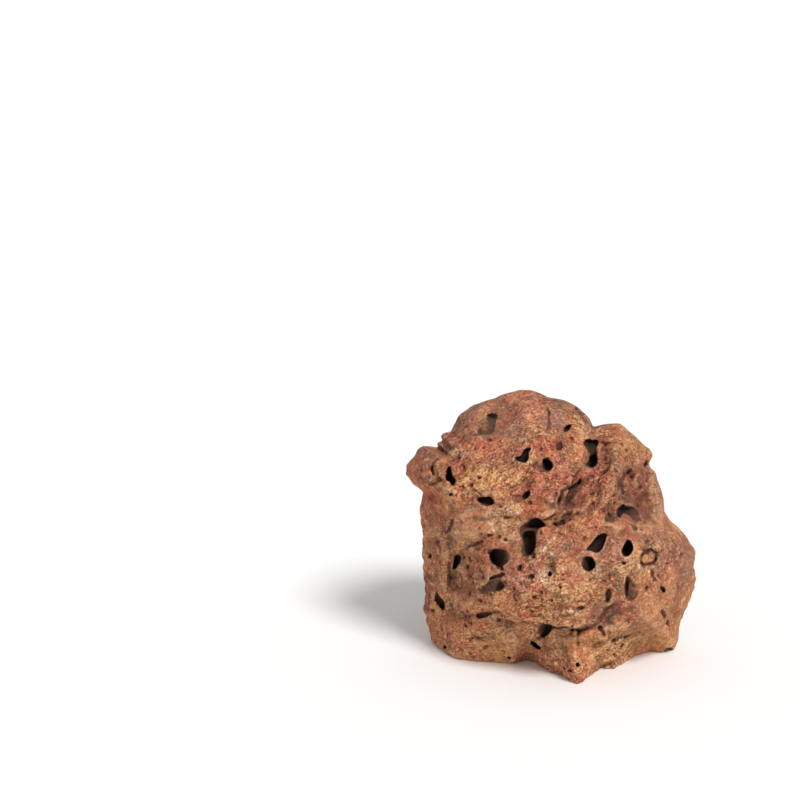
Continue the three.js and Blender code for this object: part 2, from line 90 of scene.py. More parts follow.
# The lump
# The stone broke off and weathered as one lump: an outline as it is seen from the eye, swelling to
# the front and to the back of it, with broken faces behind and a base worn flat on the ground.
OUTLINE = np.array((
    (505, 392), (517, 387), (530, 388), (545, 396), (560, 399), (575, 406), (587, 417), (591, 427),
    (600, 423), (618, 421), (627, 429), (636, 437), (642, 443), (648, 446), (652, 452), (650, 456),
    (647.5, 460.5), (648, 465), (655, 470), (656, 476), (662, 489), (664, 508), (671, 518), (677, 522),
    (689, 533), (700, 547), (704, 575), (698, 594), (690, 610), (682, 616), (681, 630), (679, 644),
    (668, 641), (652, 638), (638, 643), (622, 660), (602, 660), (596, 672), (584, 689), (567, 672),
    (549, 664), (537, 653), (527, 652), (511, 662), (490, 661), (470, 666), (447, 663), (438, 657),
    (433, 647), (431, 638), (426, 628), (422, 620), (423, 597), (422, 580), (418, 560), (419, 540),
    (417, 520), (416, 500), (419, 493), (403, 483), (395, 474), (400, 462), (405, 452), (412, 442),
    (422, 433), (436, 449), (440, 446), (434, 434), (446, 432), (455, 414), (465, 408), (478, 402),
    (491, 399),
))
FRONT_DEPTH = 46
BACK_DEPTH = 55
ROUNDNESS = 2.4
NOSE = dict(across=14, left=0.6, right=0.95, blunt=9, top=30, bottom=-45, upper=0.3, depth=-6)
BREAKS = ((58, 6, 52), (126, -4, 52), (88, 38, 66), (20, 30, 86), (158, 34, 84))
BREAK_ROUNDING = 6
UNDERSIDE = dict(wavelength=36, height=3, bias=1.6, seed=41, rounding=1.5)
FOOT = dict(height=16, upright=0.8)
CALM_RIM = 0.12
CALM_DEPTH = (6, 33)
RELIEF_DEPTH = (2, 16)
DENT_TURN = 12
DENT_REACH = (0.62, 0.95)
LUMPS = ((30, 3.6, 11), (13, 1.7, 23))
STRATA = dict(cliff=0.75, direction=(0.28, 0.18, 0.94), period=16, height=3.2, warp=9, wavelength=34, seed=5)
STRATA_HIDDEN = 0.8
STRATA_DEPTH = (0, 20)


def smooth(low, high, x):
    """Smoothstep: 0 at low, 1 at high, and level at both."""
    t = np.clip((x - low) / (high - low), 0, 1)
    return t * t * (3 - 2 * t)


def rounded_max(x, y, rounding):
    """The larger of two distances, with a rounded edge where they are nearly equal."""
    h = np.maximum(rounding - np.abs(x - y), 0)
    return np.maximum(x, y) + h * h / (4 * rounding)


def corner_values(i, j, k, seed):
    """Random numbers from -1 to 1, one for each corner of a cubic lattice."""
    def word(n):
        return (np.asarray(n, np.int64) & 0xFFFFFFFF).astype(np.uint32)
    h = word(i) * np.uint32(374761393) ^ word(j) * np.uint32(668265263)
    h = h ^ word(k) * np.uint32(1274126177) ^ word(seed * 97531)
    h = (h ^ h >> np.uint32(15)) * np.uint32(2246822519)
    h = (h ^ h >> np.uint32(13)) * np.uint32(3266489917)
    return (h ^ h >> np.uint32(16)) / 2147483647.5 - 1


def spline_weights(t):
    """Cubic B-spline weights of the four corners round a fraction t."""
    s = 1 - t
    return s**3 / 6, (3 * t**3 - 6 * t**2 + 4) / 6, (3 * s**3 - 6 * s**2 + 4) / 6, t**3 / 6


class Block:
    """A box of points on a regular grid, with x, y and z as three open arrays."""

    def __init__(self, low, high, step):
        self.axes = [np.arange(low[n], high[n], step) for n in range(3)]
        self.x = self.axes[0][:, None, None]
        self.y = self.axes[1][None, :, None]
        self.z = self.axes[2][None, None, :]
        self.low = np.array([axis[0] for axis in self.axes])
        self.step = step

    def offsets(self, place=MIDDLE, part=(slice(None),) * 3):
        """x, y and z from a place to every point, or to those of a part."""
        x, y, z = self.x[part[0]], self.y[:, part[1]], self.z[:, :, part[2]]
        return x - place[0], y - place[1], z - place[2]

    def noise(self, wavelength, seed):
        """Smooth noise, about -1 to 1: a cubic B-spline through a lattice's random corners.

        The lattice is spread over the grid along one axis after another.
        """
        ranges = []
        spreads = []
        for axis, middle in zip(self.axes, MIDDLE):
            cell = (axis - middle) / wavelength
            base = np.floor(cell).astype(int)
            first = base[0] - 1
            spread = np.zeros((len(cell), base[-1] + 3 - first))
            for m, weight in enumerate(spline_weights(cell - base)):
                spread[np.arange(len(cell)), base - 1 + m - first] = weight
            ranges.append(np.arange(first, base[-1] + 3))
            spreads.append(spread.astype(np.float32))
        values = corner_values(ranges[0][:, None, None], ranges[1][None, :, None], ranges[2], seed)
        values = values.astype(np.float32)
        for spread in spreads:
            values = np.tensordot(values, spread, axes=(0, 1))
        return 3 * values


def along(offsets, way):
    """How far offsets reach in a direction: the sum of their products with its parts."""
    return sum(offset * part for offset, part in zip(offsets, way))


def sample(block, values, points):
    """Values at any points inside the block, in between the grid's own by straight lines."""
    cell = (points - block.low) / block.step
    base = np.clip(np.floor(cell).astype(int), 0, np.array(values.shape) - 2)
    share = np.clip(cell - base, 0, 1)
    total = 0
    for corner in itertools.product((0, 1), repeat=3):
        weight = np.ones(points.shape[:-1])
        for n in range(3):
            weight = weight * (share[..., n] if corner[n] else 1 - share[..., n])
        total = total + weight * values[tuple(base[..., n] + corner[n] for n in range(3))]
    return total


def blur(values, reach):
    """Mean over a cube of cells round each, from running sums, twice over."""
    for n in (0, 1, 2, 0, 1, 2):
        padded = np.pad(values, [(reach + 1, reach) if m == n else (0, 0) for m in range(3)], "edge")
        running = np.cumsum(padded, axis=n)
        wide = running.shape[n]
        high = np.take(running, range(2 * reach + 1, wide), axis=n)
        low = np.take(running, range(0, wide - 2 * reach - 1), axis=n)
        values = (high - low) / (2 * reach + 1)
    return values


def from_picture(x, y):
    """A picture point as millimetres right of and above the middle, as the eye sees it."""
    return (x - PICTURE_MIDDLE[0]) * SCALE, (PICTURE_MIDDLE[1] - y) * SCALE


def seen(block, upright=0):
    """Right, up and towards the eye, for every point of a block.

    For an upright foot the lowest heights are raised first, the more so the lower they are.
    """
    low = np.maximum(FOOT["height"] - block.z, 0)
    x, y = block.x - MIDDLE[0], block.y - MIDDLE[1]
    z = block.z + upright * low * low / (2 * FOOT["height"]) - MIDDLE[2]
    towards = z * sin_eye - y * cos_eye
    nearer = EYE_DISTANCE / (EYE_DISTANCE - towards)
    return x * nearer, (y * sin_eye + z * cos_eye) * nearer, towards


def placed(right, up, towards):
    """The points of space that the eye sees there: the reverse of seen."""
    farther = (EYE_DISTANCE - towards) / EYE_DISTANCE
    y = up * farther * sin_eye - towards * cos_eye
    z = up * farther * cos_eye + towards * sin_eye
    return MIDDLE + np.stack(np.broadcast_arrays(right * farther, y, z), axis=-1)


def rim_radius(right, up):
    """The outline's radius in each direction from the middle, straight between its points.

    Further in, it goes over to its mean over some degrees, so that no dent runs to the middle.
    """
    across, above = from_picture(OUTLINE[:, 0], OUTLINE[:, 1])
    corners = np.arctan2(above, across)
    order = np.argsort(corners)
    degrees = np.radians(np.arange(-180, 180))
    radius = np.interp(degrees, corners[order], np.hypot(across, above)[order], period=2 * np.pi)
    near = range(-DENT_TURN, DENT_TURN + 1)
    broad = sum(np.roll(radius, n) for n in near) / len(near)
    angle = np.arctan2(up, right)
    sharp = np.interp(angle, degrees, radius, period=2 * np.pi)
    broad = np.interp(angle, degrees, broad, period=2 * np.pi)
    share = smooth(*DENT_REACH, np.hypot(right, up) / broad)
    return (broad + (sharp - broad) * share).astype(np.float32)


def rim_depth(right, up):
    """How far towards the eye the outline lies: a wedge whose nose comes forward at the foot."""
    slope = np.where(right < NOSE["across"], NOSE["left"], NOSE["right"])
    wedge = np.hypot((right - NOSE["across"]) * slope, NOSE["blunt"]) - NOSE["blunt"]
    low = NOSE["upper"] + (1 - NOSE["upper"]) * smooth(-NOSE["top"], -NOSE["bottom"], -up)
    return NOSE["depth"] - wedge * low


# Swells and ledges
# Harder layers stand out of the lump as swells and as ledges with a crisp edge, and softer ones
# have worn back between them. The front's are placed where they are seen. The back's are made up.
# Swells: picture point, half width, half height, rise and, if any, turn.
FRONT_SWELLS = (
    (505, 462, 26, 20, 6, 15), (420, 466, 6, 9, 5), (480, 529, 14, 4.5, 3.5, 5), (484, 426, 7, 9, -3, -25),
    (592, 482, 7, 20, -3.4, -35), (568, 502, 7, 7, -3.4, -30), (613, 465, 5, 18, 3.5, -12),
    (640, 499, 9, 11, -6, 15), (631, 478, 4, 7, -2.5, 10), (655, 500, 3, 14, 2, 5), (640, 596, 22, 24, 4.5),
    (464, 583, 8, 10, -5.5), (444, 572, 3, 13, 2.5), (498, 566, 9, 10, -2.5), (529, 541, 6, 11, -3),
    (545, 537, 4, 4.5, 3), (606, 573, 8, 2.5, -2, 25), (560, 595, 20, 8, 3), (608, 613, 4.5, 5, -4),
    (566, 639, 10, 7, -5.5), (583, 672, 14, 8, 5), (498, 648, 9, 6, 3), (655, 632, 8, 9, -2),
    (611, 525, 4, 2.6, 2.2), (641, 524, 5, 2.4, 2.2), (470, 624, 13, 3, -2), (577, 433, 8, 5, 2, 15),
    (583, 452, 3.5, 8, 1.5), (458, 456, 5, 4, 1.2), (506, 542, 11, 5, 2.5), (517, 557, 2.5, 10, 2.2),
    (474, 604, 15, 5, 2.2), (515, 642, 4, 3, 1.5), (532, 635, 8, 5, 2), (624, 519, 4, 4, 1.6),
    (606, 458, 4, 12, -1.5, -10), (658, 592, 6, 12, 1.5, 10), (560, 612, 12, 3, 1.2),
)
# Ledges: the edge's line, with the raised side on its left, rise and reach.
FRONT_LEDGES = (
    (((525, 518), (543, 516), (556, 509), (559, 497), (571, 485), (584, 470), (586, 452), (583, 438),
      (592, 425)), 9, 14),
    (((453, 518), (468, 516), (480, 514), (494, 511), (510, 515), (527, 518)), 2.5, 7),
    (((460, 561), (466, 551), (476, 545), (488, 541)), 4, 6),
    (((474, 612), (490, 613), (508, 617), (530, 620), (548, 622), (562, 626), (579, 628), (592, 623),
      (604, 618)), 9, 12),
    (((613, 437), (612, 455), (609, 470), (602, 482), (600, 500), (594, 515), (588, 530)), 5, 9),
    (((604, 514), (612, 500), (618, 490), (620, 478), (630, 465)), 7, 8),
    (((664, 521), (648, 521), (633, 524), (618, 520), (603, 521)), 7, 8),
    (((683, 622), (682, 605), (680, 585), (676, 562)), 8, 5),
    (((450, 600), (450, 580), (452, 562), (455, 547)), 4, 7),
    (((652, 655), (640, 656), (622, 658), (608, 661), (599, 668)), 6, 6),
    (((556, 612), (574, 611), (588, 607)), 3.5, 5),
    (((598, 640), (612, 632), (628, 626)), 3, 6),
    (((478, 634), (492, 636), (506, 640), (522, 646)), 3, 6),
    (((464, 541), (474, 540), (486, 538), (498, 534)), -2.5, 5),
    (((553, 627), (562, 627), (580, 628)), 4, 6),
)
# Cracks: line, depth and half width.
CRACKS = (
    (((541, 404), (546, 412), (547, 422), (543, 430), (540, 434)), 2.3, 0.5),
    (((451, 519), (450, 526), (448, 533), (443, 538)), 3, 0.6),
    (((581, 474), (578, 481), (570, 487), (562, 492), (559, 500), (557.5, 510)), 3.2, 0.9),
    (((630, 465), (624, 472), (619, 479), (619, 487), (621, 496)), 2.8, 0.8),
    (((437, 461), (432, 466), (431, 474), (433, 481)), 3.1, 0.8),
    (((441, 482), (433, 487), (425, 490)), 2.2, 0.7),
    (((476, 617), (484, 617.5), (495, 614), (503, 613)), 1.8, 0.6),
    (((545, 624), (553, 628), (563, 627), (580, 628.5), (596, 624)), 2.5, 0.8),
    (((466, 553), (468, 549), (475, 545), (484, 542)), 2.4, 0.6),
    (((464, 541), (472, 541.5), (480, 539)), 1, 0.6),
    (((679, 578), (681.5, 588), (681.5, 600), (680, 616)), 4.5, 1.3),
    (((560, 519), (566, 517), (571, 514)), 2, 0.6),
    (((552, 523), (558, 526), (565, 521)), 2.5, 0.7),
    (((600, 624), (604, 628), (606, 634)), 2.8, 0.8),
    (((608, 626), (611, 630), (610, 636)), 2.1, 0.6),
    (((452, 622), (470, 619), (478, 617)), 1.3, 0.8),
    (((579.5, 630), (580, 640), (581, 652)), 1.5, 0.7),
    (((664, 649), (668, 645), (676, 643)), 3.1, 1.1),
    (((597, 571), (605, 567), (613, 562)), 1.3, 0.9),
    (((449.5, 562), (450, 575), (449, 592)), 1.8, 0.8),
    (((600, 668), (609, 662), (622, 660), (634, 658)), 2, 0.9),
    (((585, 520), (578, 516), (588, 508), (596, 497)), 1.4, 0.6),
    (((505, 602), (513, 606), (519, 613)), 1.3, 0.6),
    (((519, 487), (523, 480), (527, 477)), 1.7, 0.6),
    (((556, 613), (564, 615), (573, 614), (580, 610)), 1.7, 0.6),
    (((440, 444), (447, 438), (451, 440)), 1.4, 0.7),
    (((646, 458), (645, 464), (650, 470)), 2.2, 0.8),
    (((520, 531), (527, 527), (533, 521)), 2.1, 0.9),
    (((476, 646), (472, 641), (478, 638), (485, 641)), 1.7, 0.8),
    (((604, 455), (602, 448), (606, 441)), 1.4, 0.7),
    (((627.5, 579), (626, 586), (627, 595)), 3.2, 0.8),
    (((648.5, 566.5), (643.5, 564.5), (641.6, 560), (641.3, 555.4), (642.2, 551.8), (645, 548.7),
      (649.4, 546.6), (653, 548.6), (656.4, 549.8), (655.8, 553), (655.2, 556.4), (653.3, 559.3),
      (650, 560.8), (646.3, 561.2), (642.6, 561.4), (641.2, 557.5), (641.6, 553.5)), 4, 0.6),
    (((500, 519), (512, 521), (524, 518)), 0.9, 0.6),
    (((466, 489), (474, 492), (481, 497)), 1.6, 0.6),
    (((570, 406), (580, 414), (588, 424)), 1.6, 0.7),
    (((436, 544), (440, 552), (438, 560), (441, 568)), 1.4, 0.6),
    (((560, 560), (570, 556), (580, 548)), 1.2, 0.7),
    (((612, 640), (622, 634), (634, 634)), 1.6, 0.7),
    (((668, 530), (674, 540), (672, 552), (676, 566)), 1.4, 0.7),
    (((527, 618), (538, 616), (549, 619)), 1.5, 0.6),
    (((566, 598), (578, 602), (590, 599), (598, 602)), 1.3, 0.6),
)
BACK_SWELLS = (
    (498, 470, 24, 18, 7, 20), (612, 565, 20, 26, 6, -15), (522, 600, 17, 15, -6),
    (585, 452, 15, 11, -5, 30), (462, 560, 11, 20, 4),
)
BACK_LEDGES = (
    (((438, 524), (478, 506), (528, 517), (576, 500), (620, 482), (658, 474)), 7, 16),
    (((452, 622), (505, 600), (560, 606), (602, 588), (650, 600)), 6, 13),
    (((566, 420), (572, 458), (560, 490), (570, 540)), 5, 12),
)
LEDGE_EDGE = 0.9
LEDGE_LEAN = (-0.3, 0.4)
LEDGE_LEAN_MOST = 5
LINE_FADE = 0.15
MAP_STEP = 0.4
MAP_REACH = 100


def swell_rise(right, up, x, y, half_width, half_height, rise=1, turn=0):
    """A bell over a turned ellipse."""
    across, above = from_picture(x, y)
    cos_turn, sin_turn = math.cos(math.radians(turn)), math.sin(math.radians(turn))
    u = ((right - across) * cos_turn + (up - above) * sin_turn) / half_width
    v = ((up - above) * cos_turn - (right - across) * sin_turn) / half_height
    return rise * np.exp(-(u * u + v * v))


def line_distance(right, up, line):
    """Distance from a line of picture points, positive on its left, and a fade at both its ends."""
    across, above = from_picture(*np.array(line).T)
    lengths = np.hypot(np.diff(across), np.diff(above))
    nearest = np.full(np.broadcast_shapes(right.shape, up.shape), np.inf)
    side = np.zeros(nearest.shape)
    passed = np.zeros(nearest.shape)
    for n, length in enumerate(lengths):
        dx, dy = across[n + 1] - across[n], above[n + 1] - above[n]
        px, py = right - across[n], up - above[n]
        share = np.clip((px * dx + py * dy) / length**2, 0, 1)
        distance = np.hypot(px - share * dx, py - share * dy)
        closer = distance < nearest
        nearest = np.where(closer, distance, nearest)
        side = np.where(closer, np.sign(dx * py - dy * px), side)
        passed = np.where(closer, (lengths[:n].sum() + share * length) / lengths.sum(), passed)
    return side * nearest, smooth(0, LINE_FADE, passed) * smooth(0, LINE_FADE, 1 - passed)


def ledge_rise(right, up, edge, rise, reach):
    """A step across a line, dying away with distance from it and towards both its ends."""
    distance, fade = line_distance(right, up, edge)
    return 0.5 * rise * fade * np.tanh(distance / LEDGE_EDGE) * np.exp(-np.abs(distance) / reach)


def crack_depth(right, up, line, depth, half_width):
    """A round-bottomed crack along a line, running out at both its ends."""
    distance, fade = line_distance(right, up, line)
    return depth * fade * np.exp(-(distance / half_width) ** 2)


def map_axes():
    """Right and up on a fine grid of the eye's plane."""
    axis = np.arange(-MAP_REACH, MAP_REACH, MAP_STEP)
    return axis[:, None], axis[None, :]


def relief_map(swells, ledges):
    """The rise of every swell and ledge together."""
    rise = sum(swell_rise(*map_axes(), *swell) for swell in swells)
    return rise + sum(ledge_rise(*map_axes(), *ledge) for ledge in ledges)


def look_up(relief, right, up):
    """Values of such a map at any points of the plane, in between by straight lines."""
    u = np.clip((right + MAP_REACH) / MAP_STEP, 0, relief.shape[0] - 2)
    v = np.clip((up + MAP_REACH) / MAP_STEP, 0, relief.shape[1] - 2)
    i, j = u.astype(int), v.astype(int)
    u, v = u - i, v - j
    near = relief[i, j] * (1 - v) + relief[i, j + 1] * v
    far = relief[i + 1, j] * (1 - v) + relief[i + 1, j + 1] * v
    return near * (1 - u) + far * u


# The skin
# Wear and frost have left thin layers, creases, scallops, grain, folds and cracks on the lump. All
# of it goes into one field of distances on a fine grid, and the skin is where that field is zero.
# A noise is given by its wavelength, its height and its seed.
GRID_STEP = 0.75
GRID_LOW = (-80, -66, -3)
GRID_HIGH = (80, 64, 142)
WANDER = ((9, 1.4, 51), (3.5, 0.6, 53))
CRACK_WANDER = ((7, 0.6, 56), (3, 0.4, 58))
CREASES = ((10, -2.2, 61), (6.5, 2.4, 62), (3.4, 1, 63))
CREASE_MEAN = 0.46
GRAIN = ((3, 0.6, 71),)
FOLDS = (
    ((0.75, 0.2, 0.63), (9, 4.2, 4.2), 1.1, 73),
    ((0.97, 0.1, -0.12), (8, 4, 4), 1, 74),
)
FOLD_BAND = 3.5
FOLD_TURN = (-25, 5)
FOLD_CALM = 1.5
FOLD_WANDER = dict(way=(1, 0, 0), wavelengths=30, seed=75)
FOLD_WANDER_REACH = 8
LAYERS = dict(cliff=0.84, direction=(-0.5, -0.25, 0.83), period=6, height=2.2, warp=6, wavelength=17, seed=15)
FLAKE_REACH = 2
FLAKE_WEAR = 1.8
FLAKE_FILL = (0.36, 0.24)
FLAKE_DEPTH = (2, -4)


def turned_axes(way):
    """Three axes at right angles, as columns, with the first one along a direction."""
    first = np.array(way) / np.linalg.norm(way)
    second = np.cross((0, 0, 1), first)
    second = second / np.linalg.norm(second)
    return np.stack([first, second, np.cross(first, second)], axis=1)


def drawn_noise(places, way, wavelengths, seed):
    """Smooth noise at any points, drawn out along a direction: the same B-spline on turned axes."""
    cell = (places - MIDDLE) @ turned_axes(way) / wavelengths
    base = np.floor(cell).astype(int)
    weights = [spline_weights(cell[:, n] - base[:, n]) for n in range(3)]
    total = 0
    for i, j, k in itertools.product(range(4), repeat=3):
        corner = corner_values(base[:, 0] + i - 1, base[:, 1] + j - 1, base[:, 2] + k - 1, seed)
        total = total + weights[0][i] * weights[1][j] * weights[2][k] * corner
    return 3 * total


def folds(places, up):
    """Thin ridges: steep across the rock in the upper part, and lying level in the lower one."""
    share = smooth(*FOLD_TURN, up + FOLD_WANDER_REACH * drawn_noise(places, **FOLD_WANDER))
    ridges = [height * (CREASE_MEAN - np.abs(drawn_noise(places, way, wavelengths, seed)))
              for way, wavelengths, height, seed in FOLDS]
    return ridges[0] * share + ridges[1] * (1 - share)


def steps(block, cliff, direction, period, height, warp, wavelength, seed):
    """Ledges all round: a saw of layers along a direction, bent by a broad noise."""
    layer = (along(block.offsets(), direction) + warp * block.noise(wavelength, seed)) / period
    rise = layer - np.floor(layer)
    return height * (smooth(0, cliff, rise) - smooth(cliff, 1, rise) - 0.5)


def wandering(block, right, up, noises):
    """Right and up, each moved a little way by noises of its own."""
    return [way + sum(far * block.noise(wavelength, seed + n) for wavelength, far, seed in noises)
            for n, way in enumerate((right, up))]


def lump_field(block):
    """Millimetres outside the lump, negative inside: an outline swollen to the front and the back."""
    def bumped(distance, noises, creased=False):
        for wavelength, height, seed in noises:
            noise = block.noise(wavelength, seed)
            distance = distance - calm * height * (CREASE_MEAN - np.abs(noise) if creased else noise)
        return distance

    right, up, towards = seen(block, FOOT["upright"])
    share = np.hypot(right, up) / rim_radius(right, up)
    depth = (towards - rim_depth(right, up) * share * share).astype(np.float32)
    facing = smooth(*RELIEF_DEPTH, np.abs(depth))
    plain = FRONT_DEPTH * np.maximum(1 - share**ROUNDNESS, 0) ** (1 / ROUNDNESS)
    proud = np.clip(depth - plain, -LEDGE_LEAN_MOST, LEDGE_LEAN_MOST)
    stray, stray_up = wandering(block, right, up, WANDER)
    front = relief_map(FRONT_SWELLS, FRONT_LEDGES)
    front = look_up(front, stray + LEDGE_LEAN[0] * proud, stray_up + LEDGE_LEAN[1] * proud)
    back = look_up(relief_map(BACK_SWELLS, BACK_LEDGES), stray, stray_up)
    depth = depth - facing * np.where(depth > 0, front, -back).astype(np.float32)
    reach = np.abs(depth) / np.where(depth > 0, FRONT_DEPTH, BACK_DEPTH)
    size = (share**ROUNDNESS + reach**ROUNDNESS) ** (1 / ROUNDNESS)
    distance = np.sqrt(right * right + up * up + depth * depth) * (1 - 1 / np.maximum(size, 1e-3))
    for bearing, tilt, far in BREAKS:
        turn, rise = math.radians(bearing), math.radians(tilt)
        way = (math.cos(turn) * math.cos(rise), math.sin(turn) * math.cos(rise), math.sin(rise))
        distance = rounded_max(distance, along(block.offsets(), way) - far, BREAK_ROUNDING)
    calm = CALM_RIM + (1 - CALM_RIM) * smooth(*CALM_DEPTH, np.abs(depth))
    distance = bumped(distance, LUMPS)
    strata = 1 - STRATA_HIDDEN * smooth(*STRATA_DEPTH, depth)
    distance = distance - steps(block, **STRATA) * calm * strata
    distance = distance - steps(block, **LAYERS) * (calm - CALM_RIM)
    distance = bumped(bumped(distance, CREASES, creased=True), GRAIN)
    close = np.nonzero(np.abs(distance) < FOLD_BAND)
    places = np.stack([axis[m] for axis, m in zip(block.axes, close)], axis=1)
    heights = np.broadcast_to(up, distance.shape)[close]
    distance[close] -= calm[close] ** FOLD_CALM * folds(places, heights)
    level = Block((*GRID_LOW[:2], MIDDLE[2]), (*GRID_HIGH[:2], MIDDLE[2] + GRID_STEP / 2), GRID_STEP)
    hollow = level.noise(UNDERSIDE["wavelength"], UNDERSIDE["seed"])
    under = UNDERSIDE["height"] * hollow - UNDERSIDE["bias"] - block.z
    distance = rounded_max(distance, under, UNDERSIDE["rounding"])
    return np.maximum(distance, -block.z).astype(np.float32)


def net(block, values):
    """The zero surface as quads: a point in each cell that it crosses, four round each cut edge."""
    inside = values < 0
    corners = list(itertools.product((0, 1), repeat=3))
    count = sum(inside[i:i - 1 or None, j:j - 1 or None, k:k - 1 or None].astype(np.int8)
                for i, j, k in corners)
    cells = np.argwhere((count > 0) & (count < 8))
    number = np.full(count.shape, -1)
    number[tuple(cells.T)] = np.arange(len(cells))
    total = np.zeros((len(cells), 3))
    cuts = np.zeros(len(cells))
    for n, corner in itertools.product(range(3), corners):
        if corner[n]:
            continue
        other = (*corner[:n], 1, *corner[n + 1:])
        low, high = values[tuple((cells + corner).T)], values[tuple((cells + other).T)]
        cut = (low < 0) != (high < 0)
        share = np.where(cut, low / np.where(cut, low - high, 1), 0)
        total += cut[:, None] * np.array(corner)
        total[:, n] += cut * share
        cuts += cut
    points = block.low + block.step * (cells + total / cuts[:, None])
    quads = []
    for n in range(3):
        axes = [n, (n + 1) % 3, (n + 2) % 3]
        turned = np.transpose(inside, axes)
        ids = np.transpose(number, axes)
        low, high = turned[:-1, 1:-1, 1:-1], turned[1:, 1:-1, 1:-1]
        for leaving, order in ((low & ~high, (0, 1, 2, 3)), (high & ~low, (3, 2, 1, 0))):
            i, j, k = np.argwhere(leaving).T
            ring = (ids[i, j, k], ids[i, j + 1, k], ids[i, j + 1, k + 1], ids[i, j, k + 1])
            quads.append(np.stack([ring[m] for m in order], axis=1))
    return points, np.concatenate(quads)


def largest_part(points, quads):
    """The biggest connected piece, so that no crumb hangs loose.

    Each point takes the lowest number found among the points of its faces, over and over.
    """
    label = np.arange(len(points))
    while True:
        joined = label.copy()
        np.minimum.at(joined, quads.ravel(), np.repeat(label[quads].min(axis=1), 4))
        joined = joined[joined]
        if np.array_equal(joined, label):
            break
        label = joined
    quads = quads[label[quads[:, 0]] == np.bincount(label[quads[:, 0]]).argmax()]
    used, numbers = np.unique(quads, return_inverse=True)
    return points[used], numbers.reshape(-1, 4)


def worn(field, towards):
    """The lump with its thin flakes broken off behind: raised where little round a place is solid."""
    fill = blur(np.clip(0.5 - field / GRID_STEP, 0, 1), FLAKE_REACH)
    return field + FLAKE_WEAR * smooth(*FLAKE_FILL, fill) * smooth(*FLAKE_DEPTH, towards)


def crack_field():
    """How deep the front's cracks are sunk at every point, along lines that wander a little."""
    right, up, towards = sights
    depths = sum(crack_depth(*map_axes(), *crack) for crack in CRACKS)
    depths = look_up(depths, *wandering(block, right, up, CRACK_WANDER))
    return (depths * (towards > 0)).astype(np.float32)


block = Block(GRID_LOW, GRID_HIGH, GRID_STEP)
sights = np.broadcast_arrays(*seen(block))
body = worn(lump_field(block), sights[2]).astype(np.float32)
cracks = crack_field()
skin = body + cracks

